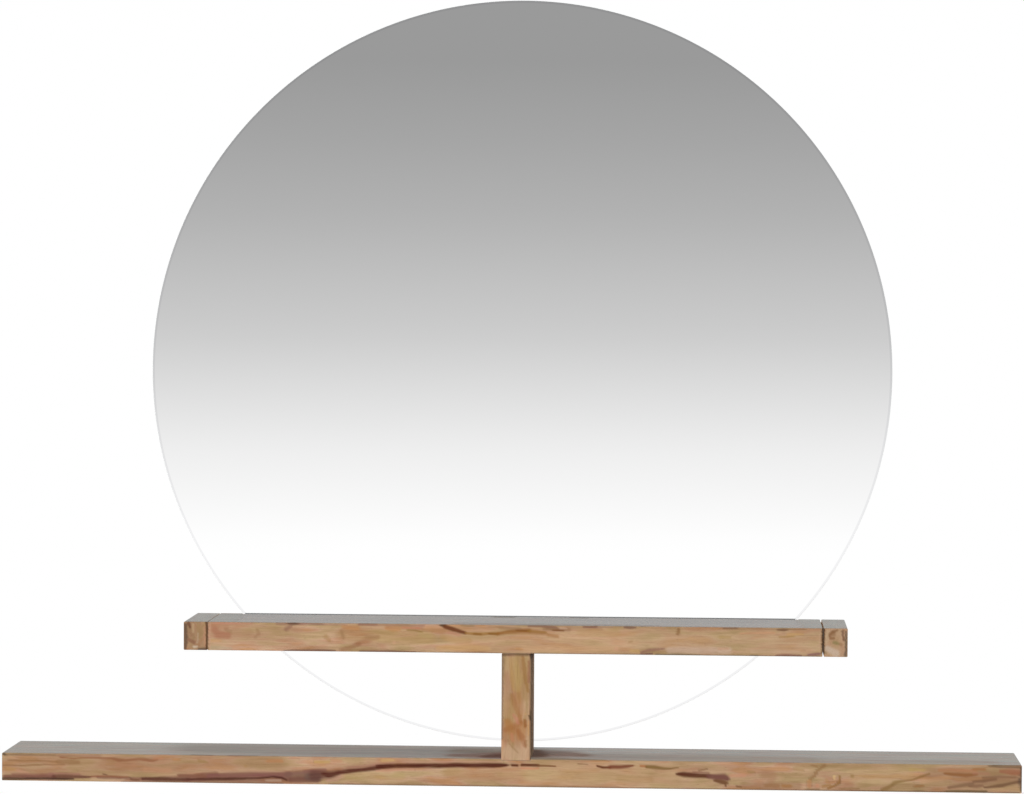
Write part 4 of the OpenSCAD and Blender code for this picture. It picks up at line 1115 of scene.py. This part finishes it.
# %% Make the zinc
def plated_steel(name, light, dark, rough):
    """Electroplated zinc on drawn steel: even and satin, with faint clouds 2.5 mm across and draw lines."""
    material, tree = new_material(name)
    place = add(tree, "TexCoord")
    cloud = add(tree, "TexNoise", Vector=place.outputs["Object"], Scale=380.0, Detail=3.0)
    tint = add(tree, "ValToRGB", {"stops": [(0.35, linear(dark)), (0.65, linear(light))]}, Fac=cloud)
    streak = add(tree, "Mapping", Vector=place.outputs["Object"], Scale=(4000.0, 4000.0, 90.0))
    streak = add(tree, "TexNoise", Vector=streak, Scale=1.0, Detail=1.0)
    gloss = add(tree, "MapRange", Value=cloud, From_Min=0.3, From_Max=0.7, To_Min=rough - 0.03, To_Max=rough + 0.03)
    bump = add(tree, "Bump", Strength=0.06, Distance=0.0001, Height=streak)
    finish = add(tree, "BsdfPrincipled", Base_Color=tint, Metallic=1.0, Roughness=gloss, Normal=bump)
    add(tree, "OutputMaterial", Surface=finish)
    return material


YELLOW_ZINC = plated_steel("yellow zinc-plated steel", "d3ba76", "be9f5c", 0.34)
BRIGHT_ZINC = plated_steel("bright zinc-plated steel", "cfd3d6", "bfc4c8", 0.30)
print("finishes", YELLOW_ZINC.name, "and", BRIGHT_ZINC.name)

# %% [markdown]
# ## Beech, rubber, felt and foam
# The dowels are beech, the setting block and the wall bumpers rubber. Felt keeps the shelf off the
# glass, and foam tape holds the glass to its battens. All four are dull, and each gives itself away
# only by its fine pattern.

# %% Make beech, rubber, felt and foam
# Beech dowel: pale and even, with short darker flecks about 1 mm long
BEECH = fine_grained("beech dowel", "TexNoise", {"Scale": 900.0, "Detail": 2.0},
                     [(0.35, "b98f66"), (0.6, "cba57c")], (0.2, 0.1), Roughness=0.6)
# Moulded rubber: near black and matt. Its dusty bloom is drawn 0.7 mm across, coarser than life
RUBBER = fine_grained("black rubber", "TexNoise", {"Scale": 1400.0, "Detail": 2.0},
                      [(0.3, "1d1d1e"), (0.7, "2b2b2c")], (0.3, 0.1), Roughness=0.7)
# Pressed wool felt: grey, hairy and without shine. Hairs are drawn 0.6 mm apart, coarser than life
# Its grey tone is set so that the thin line it shows at the shelf's back edge also stands in for the shade and
# reflection where shelf meets glass
FELT = fine_grained("grey wool felt", "TexNoise", {"Scale": 1600.0, "Detail": 4.0, "Roughness": 0.7},
                    [(0.35, "6c6f71"), (0.65, "8e9193")], (0.6, 0.3), Roughness=0.95, Sheen_Weight=0.3)
# Foam tape: off-white and dull. Its cells are drawn 0.5 mm across, coarser than life, to show
FOAM = fine_grained("white foam tape", "TexVoronoi", {"Scale": 2200.0},
                    [(0.1, "cfcfc8"), (0.6, "e6e6e0")], (0.4, 0.1), Roughness=0.85)
print("finishes", [material.name for material in (BEECH, RUBBER, FELT, FOAM)])

# %% [markdown]
# ## Battens, felt, tape and setting block
# These have the right outline in the CAD model but knife-sharp edges. A planed batten has its edges
# eased, and felt, foam and rubber round off by themselves. Each piece starts as a copy of its CAD
# solid: the loose triangles are merged, flat ones are joined, and the long outer edges are picked
# by their angle and bevelled.

# %% Ease the edges of a copy
WELD, LONG, SHARP = 0.01 * MM, 4 * MM, 1.0  # the last is an angle in radians


def eased_copy(name, node, ease):
    """A copy of a CAD node's solid with its long outer edges rounded by an amount in mm."""
    piece = bpy.data.objects.new(name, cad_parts[node].data.copy())
    piece.data.name = name
    bpy.context.scene.collection.objects.link(piece)
    work_on(piece)
    bpy.ops.object.mode_set(mode="EDIT")
    bpy.ops.mesh.select_all(action="SELECT")
    bpy.ops.mesh.remove_doubles(threshold=WELD)
    bpy.ops.mesh.dissolve_limited(angle_limit=math.radians(1))
    pick_edges(lambda way, edge: way.length > LONG and edge.is_convex and edge.calc_face_angle(0) > SHARP)
    bpy.ops.mesh.bevel(offset=ease * MM, segments=2, affect="EDGES")
    bpy.ops.object.mode_set(mode="OBJECT")
    return piece


# %% Make the battens, felt, tape and setting block
for name, node, ease, slot, material in (
        ("stile_batten", "centre_stile", 0.8, "batten_softwood", UPRIGHT_PINE),
        ("ledge_batten", "ledge_rail", 0.8, "batten_softwood", LEVEL_PINE),
        ("shelf_batten", "shelf_rail", 0.8, "batten_softwood", LEVEL_PINE),
        ("hanger_batten", "hanger_rail", 0.8, "batten_softwood", LEVEL_PINE),
        ("felt_strip", "shelf_felt_strip", 0.3, "felt", FELT),
        ("foam_tape_strips", "mirror_tape_strips", 0.25, "foam_tape", FOAM),
        ("rubber_setting_block", "glass_setting_block", 0.5, "black_rubber", RUBBER)):
    piece = eased_copy(name, node, ease)
    stand_in(piece, node, material)
    print(name, len(piece.data.polygons), "faces")

# %% [markdown]
# ## Wall bumpers
# Four rubber feet keep the frame off the wall. One is shaped from a thin cylinder: its wall-side rim
# is rounded and its face dished in two insets, as moulded feet are. The bumpers are copies of it, each
# with its own mesh.

# %% Shape one foot
BUMPER_LOW, BUMPER_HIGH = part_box("wall_bumpers")
BUMPER_R = 6 * MM
FOOT_ROUND, FOOT_LIP, DISH_SLOPE, DISH_DEPTH = 0.7 * MM, 1.2 * MM, 0.5 * MM, 0.4 * MM
deselect()
bpy.ops.mesh.primitive_cylinder_add(vertices=48, radius=BUMPER_R, depth=BUMPER_HIGH.y - BUMPER_LOW.y,
                                    location=(0, (BUMPER_LOW.y + BUMPER_HIGH.y) / 2, 0),
                                    rotation=(math.pi / 2, 0, 0))
foot = bpy.context.object
bpy.ops.object.transform_apply(location=True, rotation=True, scale=True)
bpy.ops.object.mode_set(mode="EDIT")
pick_edges(lambda way, edge: abs(way.y) < 1e-6 and edge.verts[0].co.y > BUMPER_HIGH.y - 1e-5)
bpy.ops.mesh.bevel(offset=FOOT_ROUND, segments=3, affect="EDGES")
pick_faces(lambda face: face.normal.y > 0.99)
bpy.ops.mesh.inset(thickness=FOOT_LIP, depth=0.0)
bpy.ops.mesh.inset(thickness=DISH_SLOPE, depth=-DISH_DEPTH)
bpy.ops.object.mode_set(mode="OBJECT")
print("foot", len(foot.data.polygons), "faces")

# %% Copy it to the four corners
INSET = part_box("ledge_rail")[1].x - (BUMPER_HIGH.x - BUMPER_R)
FEET = [(side * (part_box(rail)[1].x - INSET), z) for side in (-1, 1)
        for rail, z in (("ledge_rail", BUMPER_LOW.z + BUMPER_R), ("shelf_rail", BUMPER_HIGH.z - BUMPER_R))]
for number, (x, z) in enumerate(FEET, 1):
    bumper = bpy.data.objects.new(f"rubber_bumper_{number}", foot.data.copy())
    bpy.context.scene.collection.objects.link(bumper)
    bumper.data.transform(Matrix.Translation((x, 0, z)))
    stand_in(bumper, "wall_bumpers", RUBBER)
bpy.data.objects.remove(foot)
print("bumpers at", [(round(x * 1000, 1), round(z * 1000, 1)) for x, z in FEET])

# %% [markdown]
# ## Screws, dowels and plates
# The CAD solids of the small steel and beech parts have the right shapes, cross recesses and
# keyholes included, so they keep them and only get their finishes.

# %% Dress the CAD nodes that keep their shape
DRESS = {
    "post_foot_plugs": HARDWOOD["upright"],
    "end_block_dowels_left": BEECH, "end_block_dowels_right": BEECH, "post_top_dowels": BEECH,
    "post_foot_screws": YELLOW_ZINC, "halving_joint_screws": YELLOW_ZINC, "ledge_rail_screws": YELLOW_ZINC,
    "shelf_rail_screws": YELLOW_ZINC, "hanger_plate_screws": YELLOW_ZINC,
    "hanger_plate_left": BRIGHT_ZINC, "hanger_plate_right": BRIGHT_ZINC,
}
for node, material in DRESS.items():
    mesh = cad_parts[node].data
    mesh.materials.clear()
    mesh.materials.append(material)
    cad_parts[node].visible_glossy = False
print("dressed", len(DRESS), "CAD nodes")
